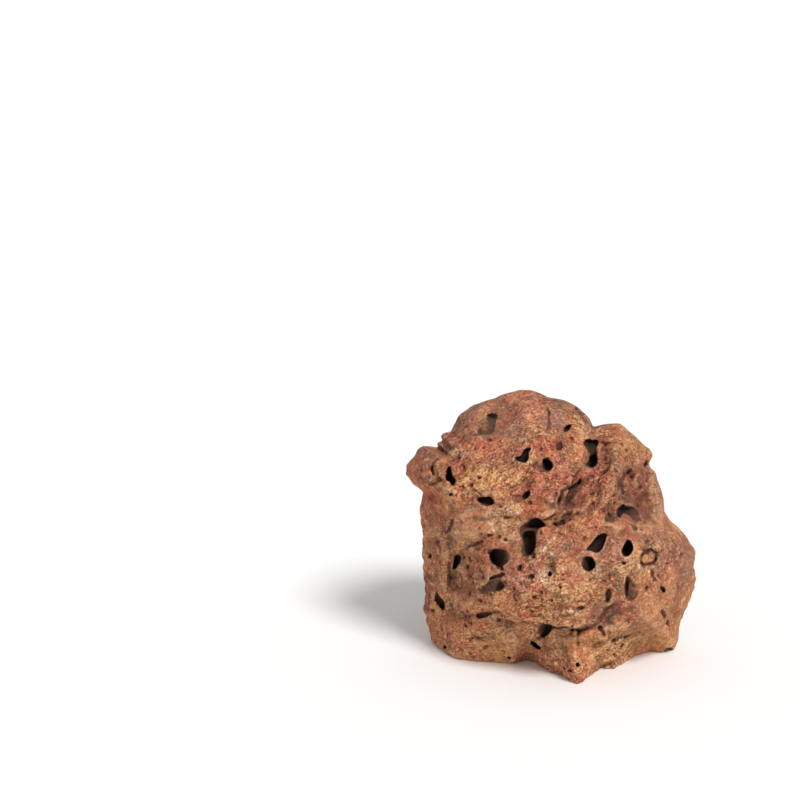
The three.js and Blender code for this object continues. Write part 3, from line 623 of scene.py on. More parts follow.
# Pores
# Gas bubbles and dissolved grains have left holes all over, some with a thin hard rim. The large
# ones in front are drawn, the small ones there are ovals, and those of the other sides are made up.
# Drawn pores: the mouth's outline in picture points, depth at the middle and, if any, how much deeper
# they get for each millimetre to the right and up, and rim.
DRAWN_PORES = (
    (((541, 458.4), (545.3, 457.6), (549.1, 460.2), (551.2, 463.6), (551.8, 467), (549.8, 470.2),
      (546, 471.5), (542.5, 470), (540.5, 466), (540, 462)), 11),
    (((529.5, 465.5), (532.4, 464), (535.6, 462), (539, 460.5), (543, 459), (549, 462), (551, 467),
      (548, 471.5), (542, 472), (537.6, 471.5), (533, 470.2)), 3.2, 0.35),
    (((513.5, 457), (517.7, 457.2), (519.6, 455), (521, 451), (523.5, 448.6), (527.3, 447.8), (530.3, 448.4),
      (528.5, 450.5), (526.5, 452.6), (527.3, 456.8), (526.8, 460.6), (524, 463.8), (520.9, 463.2),
      (516.4, 461.9), (513.8, 459.6)), 7, -0.3, 0, 0.3),
    (((560.4, 428.3), (563.8, 425.2), (567.1, 423.5), (570.2, 423.2), (568.5, 427.1), (566.6, 430.4),
      (562.6, 432.4), (560.8, 431)), 8),
    (((445.7, 469.3), (448.8, 469.2), (449.3, 473.5), (450.6, 477.7), (453.8, 481), (453.8, 484.4),
      (451.8, 488.4), (449.4, 487.1), (447.6, 484), (445.4, 483.3), (443.4, 479.2), (445.1, 476.7),
      (444.4, 474), (445.4, 471.5)), 7),
    (((476.3, 500), (479.2, 498.4), (484, 498.2), (488, 497.4), (490.8, 498.3), (493.5, 502.3), (494, 505.1),
      (490.8, 507.2), (486.3, 508.3), (482.4, 507.1), (479, 504.6), (476.5, 502.6)), 6, 0.2, 0.8),
    (((520.7, 496.5), (523.5, 493.8), (526, 491.5), (528.8, 491.2), (529.1, 495.3), (526.8, 498.7),
      (523.5, 500), (521, 499)), 7),
    (((524.5, 481.5), (528, 481.5), (528.3, 486), (528.8, 491), (523, 494.5), (522.3, 489), (524, 485.5)),
      1.5),
    (((581.3, 442.8), (583.5, 439), (587, 437.4), (590, 438.8), (595.3, 438), (597.2, 441.8), (595.7, 445.6),
      (594.4, 449), (596, 453.5), (590, 456), (587, 452), (585, 448.3), (583, 444.8)), 5.5, -0.3),
    (((587, 456), (591, 452.3), (595, 452.3), (596.5, 458.5), (595.6, 464), (592.3, 467.3), (588.8, 467.5),
      (585.6, 465.3), (582, 465.2), (582, 462.6), (586, 461.4)), 12),
    (((581.3, 442.8), (583.5, 439), (587, 437.4), (587, 441), (584, 445)), 7),
    (((520, 529), (525.4, 525.2), (529, 522.2), (531.8, 519.4), (535.4, 518.2), (538.4, 518.6),
      (540.8, 520.6), (543.1, 523), (545.6, 525.2), (544.2, 527), (541.2, 527.3), (538.9, 528.5),
      (534, 528.4), (528, 528.6)), 8, 0.5),
    (((525, 531.2), (530, 530.8), (534, 530.8), (535.4, 533), (535.3, 537), (535.9, 541), (536.3, 545),
      (535.6, 549.2), (533.3, 553.3), (530.9, 556.2), (527.9, 557.2), (525.3, 554), (524.3, 549),
      (524.1, 544), (523, 541), (521.2, 538.3), (522.6, 534)), 12, 0.2),
    (((520, 527.5), (538.5, 527.5), (536.5, 533), (536, 545), (533, 554), (528, 558), (523, 557.5),
      (521.3, 552), (522.8, 546), (521.3, 539), (519.3, 534)), 4, 0, 0, 0.1),
    (((490, 554.6), (491.5, 551.8), (494.4, 550.2), (499, 550.4), (504.8, 550.6), (508.1, 552.4),
      (510.5, 556.5), (510.4, 560.5), (508.2, 564), (504.7, 566.5), (502.7, 568), (505, 571.5),
      (503.5, 572.2), (500, 569.8), (496.5, 567.6), (492.4, 565.2), (490, 562.1), (489, 558.3)),
      7, -0.85, 0, 0.5),
    (((488.8, 580.4), (493, 578), (497.8, 576.2), (503.2, 574.4), (507, 574.1), (505.2, 577.2),
      (500.8, 578.6), (496, 579.5), (490, 581.6)), 6),
    (((501.5, 581.5), (504.4, 584), (506.8, 587.3), (504.6, 590.6), (501, 593), (498.4, 594.3), (496.4, 591),
      (496.4, 586.6)), 8, 0.5),
    (((486.5, 587.5), (489, 583.5), (493, 581), (501, 580.5), (506, 586.5), (502, 592), (495, 594),
      (490, 592.5), (487.5, 595), (482.3, 595.7), (482, 592), (483.8, 588)), 5, 0.15),
    (((518.6, 565.3), (521, 564.8), (523.7, 566.5), (523.2, 569.5), (521.5, 573), (519.6, 571.7),
      (518.3, 568.5)), 5, -0.9, 0, 0.2),
    (((549.8, 570.6), (552.2, 572), (553.2, 574.6), (551, 577), (548.3, 576.7), (547.8, 574)),
      5, -0.5, 0, 0.8),
    (((604.8, 531.4), (601.5, 532.1), (598.8, 533.5), (596.1, 535.9), (593.6, 539), (590.8, 543),
      (587.6, 546.6), (583.4, 550.8), (589.4, 550), (592.3, 550.4), (595.2, 551.9), (598.2, 551.6),
      (601.2, 549), (603.1, 545.4), (604.9, 541), (606.6, 536.5), (607.3, 533)), 9, -0.8, 0, 0.6),
    (((588.3, 554.8), (591.8, 555.4), (594.7, 558.7), (596.2, 562.5), (596.4, 565.6), (593.1, 568.5),
      (589.4, 570.8), (585.9, 569.4), (582.8, 567), (581.2, 563.2), (581.2, 559.2), (583.7, 556.2)),
      7.5, 1.3, 0, 0.4),
    (((627.5, 537.6), (630.4, 538.8), (632.3, 541.6), (633.2, 545.2), (632.2, 549.4), (630.1, 553.2),
      (627, 555.3), (624, 554.9), (621.9, 552), (621.1, 548.6), (622.5, 544.7), (624.5, 541)),
      13, 0, 0.5, 0.6),
    (((622, 559.8), (624.5, 559.9), (626.9, 561), (624.8, 563.1), (622.5, 562.5)), 4),
    (((615.2, 509.4), (616.9, 506), (619.9, 503.1), (622, 501.8), (624, 503.4), (626.9, 504.5),
      (630.4, 504.5), (634.5, 505.8), (637.5, 510), (639.3, 514), (638.8, 518.3), (636.2, 520.1),
      (633.7, 519.5), (630.2, 516.7), (627.3, 513.8), (624, 512.6), (621.9, 513.7), (620.2, 516),
      (619, 517.5), (616.3, 516.7), (615.2, 512.9)), 6.5, -0.75),
    (((603.1, 517), (604.8, 514.2), (609.5, 512.6), (614, 511.5), (615, 517), (614, 520.7), (609.5, 521.2),
      (604.8, 521.6)), 2.2, -0.3),
    (((626.4, 574.2), (628.9, 574.6), (631.8, 578), (634.8, 581.6), (637.9, 584.9), (639.1, 589),
      (638, 593.4), (635, 597), (631.5, 598.8), (628.3, 598.2), (626, 595.5), (625.4, 590.2), (625.4, 584.4),
      (625.6, 579.8)), 3, -0.5, 0, 0.7),
    (((625.6, 578.5), (628.3, 577), (628.8, 584), (628.3, 590), (629.3, 596), (626.8, 596), (625.4, 590),
      (625.4, 584)), 7),
    (((608, 586.6), (610.7, 586.8), (612.7, 590.5), (612.7, 594), (611, 598.3), (608.4, 600.8), (606.5, 597),
      (606, 592)), 3.2, -1.1),
    (((659.3, 581.8), (662, 582.4), (665.2, 585), (666.2, 588), (664, 590.6), (661.3, 588), (659.8, 585)),
      5),
    (((484, 415.8), (487.6, 414.3), (492.7, 414.4), (495, 416.4), (493.4, 421.5), (493.1, 425.5),
      (491.7, 431.2), (489.8, 435.8), (485, 436.6), (480, 436.2), (474.7, 436.6), (473.6, 433.2),
      (475.9, 429.1), (480, 429), (483.4, 426), (484.6, 422.2), (483.4, 419)), 2.6),
    (((484, 415.8), (487.6, 414.3), (492.7, 414.4), (495, 416.4), (493.2, 421), (488, 421.5), (484, 420)),
      3.4),
    (((474.7, 436.6), (473.6, 433.2), (475.9, 429.1), (480, 430), (481, 434), (480, 436.4)), 3.8),
    (((454.4, 559.6), (456.5, 557), (460.1, 557), (462.2, 559.8), (461, 564), (458.7, 567.9), (456.4, 571.6),
      (453.6, 572.2), (452.8, 569.4), (453.8, 564)), 10, 0, 0, 0.3),
    (((437.8, 593.8), (440.4, 598.8), (444, 602.4), (446.2, 605.3), (446.5, 610.2), (445, 614.2),
      (441.8, 611), (438.8, 607.4), (436.4, 603.7), (436, 600), (436.7, 596.4)), 5.5, 0.8),
    (((477.7, 616), (479.8, 615.4), (484, 614.1), (488.8, 613.4), (495.2, 614.2), (490.2, 617),
      (485.9, 618.9), (481, 620.1), (478.4, 618.8)), 5, 0, 0.8),
    (((538, 622.6), (542.3, 620.4), (546.8, 619), (551.3, 620.2), (554.5, 624), (555, 628.4), (552.6, 632),
      (549.2, 635.5), (545, 637.8), (540.8, 636.2), (539.8, 632), (539, 627)), 5, 1.2),
    (((531.8, 641.5), (535.3, 640.8), (538, 642.2), (540.6, 644.8), (544.6, 647.4), (543, 649.7),
      (539.6, 649.3), (535.7, 647), (533, 644.3)), 8, 0, 0, 0.2),
    (((578, 661.3), (580.8, 661.3), (582.2, 664), (579.6, 665.9), (577.7, 664.2)), 5),
)
# Oval pores: picture point, width, height, depth and, if any, turn.
PORES = (
    (665.5, 611.5, 2, 6.8, 4.5, 30), (669.5, 619, 2.4, 3.8, 7, 30), (645, 462.5, 2.6, 3.4, 5),
    (489, 648.5, 2.6, 1.6, 3), (511.5, 659, 2.2, 1.6, 3), (602, 626, 2.6, 2, 4, -35),
    (562, 522.5, 2.2, 2, 3), (429.5, 558.5, 1.8, 2.4, 4), (472, 449, 1.3, 3.4, 2.5, 5),
    (471, 469, 1.3, 3.8, 2.5, -5), (462, 471, 1.2, 3, 2), (447, 650, 2, 1.6, 2.5), (592, 601, 1.6, 1.8, 2.5),
    (681, 553, 2.4, 2.6, 2.5), (505, 541, 2.2, 1.6, 2.5), (629.5, 619, 1.4, 1.2, 2), (449, 497, 2.2, 1.6, 3),
    (478, 479, 2, 1.6, 2.5), (498, 447, 1.8, 1.6, 2.5), (456, 459, 2.4, 1.6, 3, 10),
    (505, 510, 1.8, 1.4, 2.5), (500, 508, 1.6, 1.4, 2.5), (533, 556, 2.6, 4, 3, 30),
    (532, 577, 4, 2.2, 3, 10), (557, 446, 2.6, 3.2, 3), (604, 448, 1.8, 5, 3, 10), (603, 457, 2.2, 2.6, 3),
    (607, 600, 2.4, 1.6, 3, -30), (573, 670, 2.2, 1.4, 2.5, -30), (566, 668, 1.6, 1.4, 2.5),
    (452, 608, 2.2, 2.6, 2.5), (437, 544, 2.4, 2, 3), (463, 616, 2, 1.6, 2.5), (620, 485, 2.4, 5.2, 4),
    (624, 496, 2.6, 2.2, 3), (582, 607, 3.6, 1.8, 2.5, 20), (561, 587, 2.2, 1.8, 2.5),
    (530, 663, 3.2, 1.6, 3), (520, 665, 4, 1.6, 3, 10), (670, 647, 4.4, 3.2, 4, 20),
    (668, 561, 2.4, 1.6, 2.5), (634, 526, 2, 3, 3, 20),
)
SPREAD_PORES = 60
SPREAD_STRAY = (0.05, 0.5)
SPREAD_SIZE = (3.6, 9.5)
SPREAD_OVAL = (0.6, 0.8)
SPREAD_DEPTH = 0.9
SPREAD_RIM = 0.5
SPREAD_POINT = 0.6
SPREAD_LOWEST = 7
SPREAD_AHEAD = 2
SIGHT_ENDS = (1.5 * FRONT_DEPTH, -1.2 * FRONT_DEPTH)
OUTSIDE = 130
WALK_STEP = 0.3
SLOPE_STEP = 1.5
STILL_REACH = 3
PORE_SIGHT = 0.6
PORE_MOUTH = 9
PORE_EDGE = 0.35
PORE_BOWL = (0.8, 1.5)
PORE_FLARE = 0.05
PORE_WALL = ((5, 0.2), (2.6, 0.14))
PORE_WALL_SEED = 81
PORE_BEND = 0.12
PORE_BEND_NOISE = (5, 82)
PORE_POINT = 1.5
PORE_FOOT = 1.6
PORE_TAPER = 0.06
PORE_SHALLOWEST = 0.7
RIM_WIDTH = 0.65
RIM_PLACE = 0.8
RIM_BAND = 1.5
RIM_PALE = 0.35
RIM_PALER = 1.3
RIM_DRAWN = 0.5
RIM_PATCHES = (-0.8, 0.3)


def unit(v):
    """A vector, or each vector of an array, made one long."""
    return v / np.linalg.norm(v, axis=-1, keepdims=True)


def meet(field, near, far):
    """The first place where each line from near to far goes into the stone, walked in small steps."""
    steps = int(np.linalg.norm(far - near, axis=-1).max() / WALK_STEP)
    share = np.linspace(0, 1, steps)[:, None]
    line = near[:, None, :] + share * (far - near)[:, None, :]
    values = sample(block, field, line)
    row = np.arange(len(near))
    first = np.maximum((values < 0).argmax(axis=1), 1)
    before, after = values[row, first - 1], values[row, first]
    share = (before / (before - after))[:, None]
    return line[row, first - 1] + share * (line[row, first] - line[row, first - 1])


def meet_from_outside(field, ways):
    """The places where the stone is met from some directions round its middle."""
    return meet(field, MIDDLE + OUTSIDE * ways, np.broadcast_to(MIDDLE, ways.shape))


def outward(field, points):
    """The direction away from the stone: the slope of its distance field."""
    slope = [sample(block, field, points + step) - sample(block, field, points - step)
             for step in SLOPE_STEP * np.eye(3)]
    return unit(np.stack(slope, axis=-1))


def near_part(middle, reach):
    """The part of the block within reach of a point, as slices."""
    low = np.maximum(np.floor((middle - reach - block.low) / block.step).astype(int), 0)
    high = np.maximum(np.ceil((middle + reach - block.low) / block.step).astype(int) + 1, 1)
    return tuple(slice(a, b) for a, b in zip(low, high))


def front_view(places):
    """Right and up as the eye sees each point, and how far it lies in front of the outline."""
    towards = (places - MIDDLE) @ -SIGHT
    nearer = EYE_DISTANCE / (EYE_DISTANCE - towards)
    right = (places[:, 0] - MIDDLE[0]) * nearer
    up = (places - MIDDLE) @ LEVEL * nearer
    share = np.hypot(right, up) / rim_radius(right, up)
    return right, up, towards - rim_depth(right, up) * share * share


def carve(field, part, hollow, beyond, rim, pale, patches=1):
    """Cut a hollow out of a part of the stone, and raise a rim a little way beyond its wall."""
    ring = np.exp(-((beyond / RIM_WIDTH - RIM_PLACE) ** 2)) * np.exp(-((body[part] / RIM_BAND) ** 2))
    ring = ring * patches
    rims[part] = np.maximum(rims[part], np.minimum(1, pale) * ring)
    field[part] = rounded_max(field[part] - rim * ring, -hollow, PORE_EDGE)


def bore(field, mouth, sight, axis, upward, width, height, depth, rim=0, point=0):
    """Cut one pore: an oval flask with a round bottom, a wavering wall and a low raised rim.

    The oval is laid square to the line of sight, so its mouth is seen as drawn, and is carried along
    the axis from there. Its radius is 1 at the wall. A power of the depth rounds off the bottom: the
    second makes a bowl of a shallow pore, and the fourth a flask of a deep one.
    """
    part = near_part(mouth + axis * (depth - PORE_MOUTH) / 2, max(width, height) + (depth + PORE_MOUTH) / 2)
    side = unit(np.cross(sight, upward))
    top = np.cross(side, sight)
    across, above, into = (along(block.offsets(mouth, part), way) for way in (side, top, sight))
    lean = axis / (axis @ sight)
    inside = -still[part]
    under = np.maximum(inside, 0)
    bend = wobble["bend"][part] * under * PORE_BEND
    high = (above - under * (lean @ top) + bend) * 2 / height
    wide = (across - under * (lean @ side) + bend) * 2 / width
    wide = wide * (1 + 2 * point * np.maximum(high, 0) ** PORE_POINT)
    radius = np.hypot(wide, high) * (1 + wobble["wall"][part]) / (1 + PORE_FLARE * np.maximum(-inside, 0))
    deep = np.maximum(under, into / 2) / depth
    bowl = 2 + 2 * smooth(*PORE_BOWL, depth / min(width, height))
    hollow = (np.sqrt(radius**2 + deep**bowl) - 1) * min(width, height) / 2
    hollow = np.maximum(hollow, -into - PORE_MOUTH)
    carve(field, part, hollow, (radius - 1) * min(width, height) / 2, rim, RIM_PALE + RIM_PALER * rim)


def outside_polygon(right, up, corners):
    """Distance outside a closed line, negative inside, where it sees an odd number of edges."""
    nearest = np.inf
    inside = False
    for start, end in zip(corners, np.roll(corners, -1, axis=0)):
        dx, dy = end - start
        px, py = right - start[0], up - start[1]
        share = np.clip((px * dx + py * dy) / (dx * dx + dy * dy), 0, 1)
        nearest = np.minimum(nearest, np.hypot(px - share * dx, py - share * dy))
        spans = (start[1] > up) != (end[1] > up)
        inside = inside ^ (spans & ((px * dy < dx * py) == (dy > 0)))
    return np.where(inside, -nearest, nearest)


def bore_drawn(field, outline, depth, slope=0, slope_up=0, rim=0):
    """Cut one pore whose mouth is drawn, straight in along the line of sight.

    Its floor lies at its depth under the skin, tilted by the two slopes, with a rounded foot.
    """
    corners = np.stack(from_picture(*np.array(outline).T), axis=1)
    middle = corners.mean(axis=0)
    mouth = meet(body, *(placed(*middle, end)[None] for end in SIGHT_ENDS))[0]
    part = near_part(mouth, np.abs(corners - middle).max() + depth + PORE_MOUTH)
    right, up = sights[0][part], sights[1][part]
    into = along(block.offsets(mouth, part), SIGHT)
    under = np.maximum(-still[part], 0)
    beyond = outside_polygon(right, up, corners) + wobble["wall"][part] + PORE_TAPER * under
    floor = depth + slope * (right - middle[0]) + slope_up * (up - middle[1])
    hollow = rounded_max(beyond, under - np.maximum(floor, PORE_SHALLOWEST), PORE_FOOT)
    hollow = np.maximum(hollow, np.abs(into - depth / 2) - depth / 2 - PORE_MOUTH)
    patches = smooth(*RIM_PATCHES, wobble["bend"][part])
    carve(field, part, hollow, beyond, RIM_DRAWN * rim, RIM_PALE + rim, patches)


def upright(turn=0):
    """Up in the picture, turned by some degrees to the left."""
    return math.cos(math.radians(turn)) * LEVEL - math.sin(math.radians(turn)) * RIGHTWARD


def bore_front(field):
    """Cut the front's small pores, each where the line of sight through it meets the stone."""
    right, up = from_picture(*np.array([pore[:2] for pore in PORES]).T)
    mouths = meet(body, *(placed(right, up, end) for end in SIGHT_ENDS))
    axes = unit(PORE_SIGHT * SIGHT - (1 - PORE_SIGHT) * outward(body, mouths))
    for mouth, axis, pore in zip(mouths, axes, PORES):
        bore(field, mouth, SIGHT, axis, upright(*pore[5:]), *pore[2:5])


def chance(n):
    """A repeatable random number from 0 to 1."""
    wave = np.sin(n * 12.9898) * 43758.5453
    return wave - np.floor(wave)


def bore_round(field):
    """Cut the pores of the sides, top and back, in directions spread over a golden spiral."""
    n = np.arange(SPREAD_PORES)
    up = 1 - 2 * (n + 0.5) / SPREAD_PORES + SPREAD_STRAY[0] * (chance(n) - 0.5)
    flat = np.sqrt(np.maximum(0, 1 - up * up))
    turn = n * np.pi * (3 - np.sqrt(5)) + SPREAD_STRAY[1] * (chance(n + 100) - 0.5)
    mouths = meet_from_outside(field, np.stack([flat * np.cos(turn), flat * np.sin(turn), up], axis=1))
    ahead = front_view(mouths)[2]
    inwards = -outward(field, mouths)
    for i in np.flatnonzero((ahead <= SPREAD_AHEAD) & (mouths[:, 2] > SPREAD_LOWEST)):
        large, oval, *upward, deep, rim, point = [chance(i + 100 * m) for m in range(2, 10)]
        size = SPREAD_SIZE[0] + (SPREAD_SIZE[1] - SPREAD_SIZE[0]) * large**2
        height = size * (SPREAD_OVAL[0] + SPREAD_OVAL[1] * oval)
        bore(field, mouths[i], inwards[i], inwards[i], np.array(upward) - 0.5, size, height,
             size * (SPREAD_DEPTH + deep), SPREAD_RIM * rim, SPREAD_POINT * point)


# Small bubbles
# Between the pores the rock is peppered with bubbles a millimetre or two wide, in clusters.
# They are balls, sunk by a share of their size.
BUBBLES = 1500
BUBBLE_SEED = 7
BUBBLE_SIZE = (0.6, 1.4)
BUBBLE_SMALLER = (0.6, 1)
BUBBLE_SUNK = 0.45
BUBBLE_EDGE = 0.2
CROWD_NOISE = (18, 83)
CROWD_LEVEL = -0.2


def bore_bubbles(field):
    """Cut small balls out of the skin at random places, more where a broad noise is high."""
    draw = np.random.default_rng(BUBBLE_SEED)
    places = meet_from_outside(body, unit(draw.normal(size=(BUBBLES, 3))))
    sizes = draw.uniform(*BUBBLE_SIZE, BUBBLES) * draw.uniform(*BUBBLE_SMALLER, BUBBLES)
    inwards = -outward(body, places)
    for n in np.flatnonzero(sample(block, block.noise(*CROWD_NOISE), places) > CROWD_LEVEL):
        centre = places[n] + inwards[n] * sizes[n] * BUBBLE_SUNK
        part = near_part(centre, sizes[n] + 2 * GRID_STEP)
        offsets = block.offsets(centre, part)
        ball = np.sqrt(along(offsets, offsets)) - sizes[n]
        field[part] = rounded_max(field[part], -ball, BUBBLE_EDGE)


still = blur(body, STILL_REACH)
wobble = dict(bend=block.noise(*PORE_BEND_NOISE))
wobble["wall"] = sum(share * block.noise(wavelength, PORE_WALL_SEED) for wavelength, share in PORE_WALL)
rims = np.zeros_like(skin)
for pore in DRAWN_PORES:
    bore_drawn(skin, *pore)
bore_front(skin)
bore_round(skin)
bore_bubbles(skin)
skin = np.maximum(skin, -block.z.astype(np.float32))
points, quads = largest_part(*net(block, skin))
mesh = bpy.data.meshes.new("stone_skin")
mesh.from_pydata(points / METRE, [], quads)
mesh.validate()
stone = add_object("porous_stone", mesh)
MOST_TRIANGLES = 196000
thin = stone.modifiers.new("thin", "DECIMATE")
thin.ratio = min(1, MOST_TRIANGLES / (2 * len(quads)))
mesh = bpy.data.meshes.new_from_object(stone.evaluated_get(bpy.context.evaluated_depsgraph_get()))
stone.modifiers.remove(thin)
stone.data = mesh
mesh.polygons.foreach_set("use_smooth", np.ones(len(mesh.polygons), bool))

# Colour
# Iron has stained the rock: ochre and sand where it is fresh, rust red in bands, mauve and umber
# where it is old. Some stains in front are painted shade (umber, wine and slate in hollows, corners,
# grooves and a dent) and some painted light (ochre, gold, yellow and cream along the foot, on a ledge's
# top and on ledges' lips). Some faces are smooth, with little grain.
OCHRE = (0.64, 0.30, 0.125)
YELLOW = (0.72, 0.40, 0.175)
SAND = (0.60, 0.335, 0.185)
SALMON = (0.64, 0.25, 0.14)
ROSE = (0.58, 0.185, 0.105)
RUST = (0.52, 0.14, 0.068)
WINE = (0.30, 0.09, 0.058)
LILAC = (0.39, 0.185, 0.135)
MAUVE = (0.31, 0.135, 0.092)
UMBER = (0.21, 0.088, 0.045)
OLIVE = (0.31, 0.18, 0.095)
SLATE = (0.085, 0.06, 0.055)
CREAM = (0.84, 0.52, 0.29)
GOLD = (0.76, 0.38, 0.155)
CHALK = (0.95, 0.84, 0.74)
PATCHES = (
    ((16, 8, 8), 91, RUST, 0, 0.75),
    ((12, 7, 7), 92, SAND, 0.1, 0.75),
    ((14, 8, 8), 96, ROSE, 0.2, 0.7),
    ((12, 8, 8), 93, MAUVE, 0.35, 0.75),
    ((10, 7, 7), 97, OLIVE, 0.5, 0.7),
    ((9, 6, 6), 98, UMBER, 0.6, 0.7),
)
FLECKS = (
    ((4, 2.6, 2.6), 101, RUST, 0.35, 0.45),
    ((3.8, 2.4, 2.4), 102, YELLOW, 0.5, 0.4),
    ((4, 2.8, 2.8), 103, WINE, 0.55, 0.45),
    ((3.2, 2.2, 2.2), 104, SALMON, 0.5, 0.4),
)
PATCH_BLEND = 0.3
GRAIN_WAY = (0.8, 0.2, 0.45)
RAGGED = ((5, 0.35, 94), (2.6, 0.25, 95))
FRONT_FADE = (-4, 4)
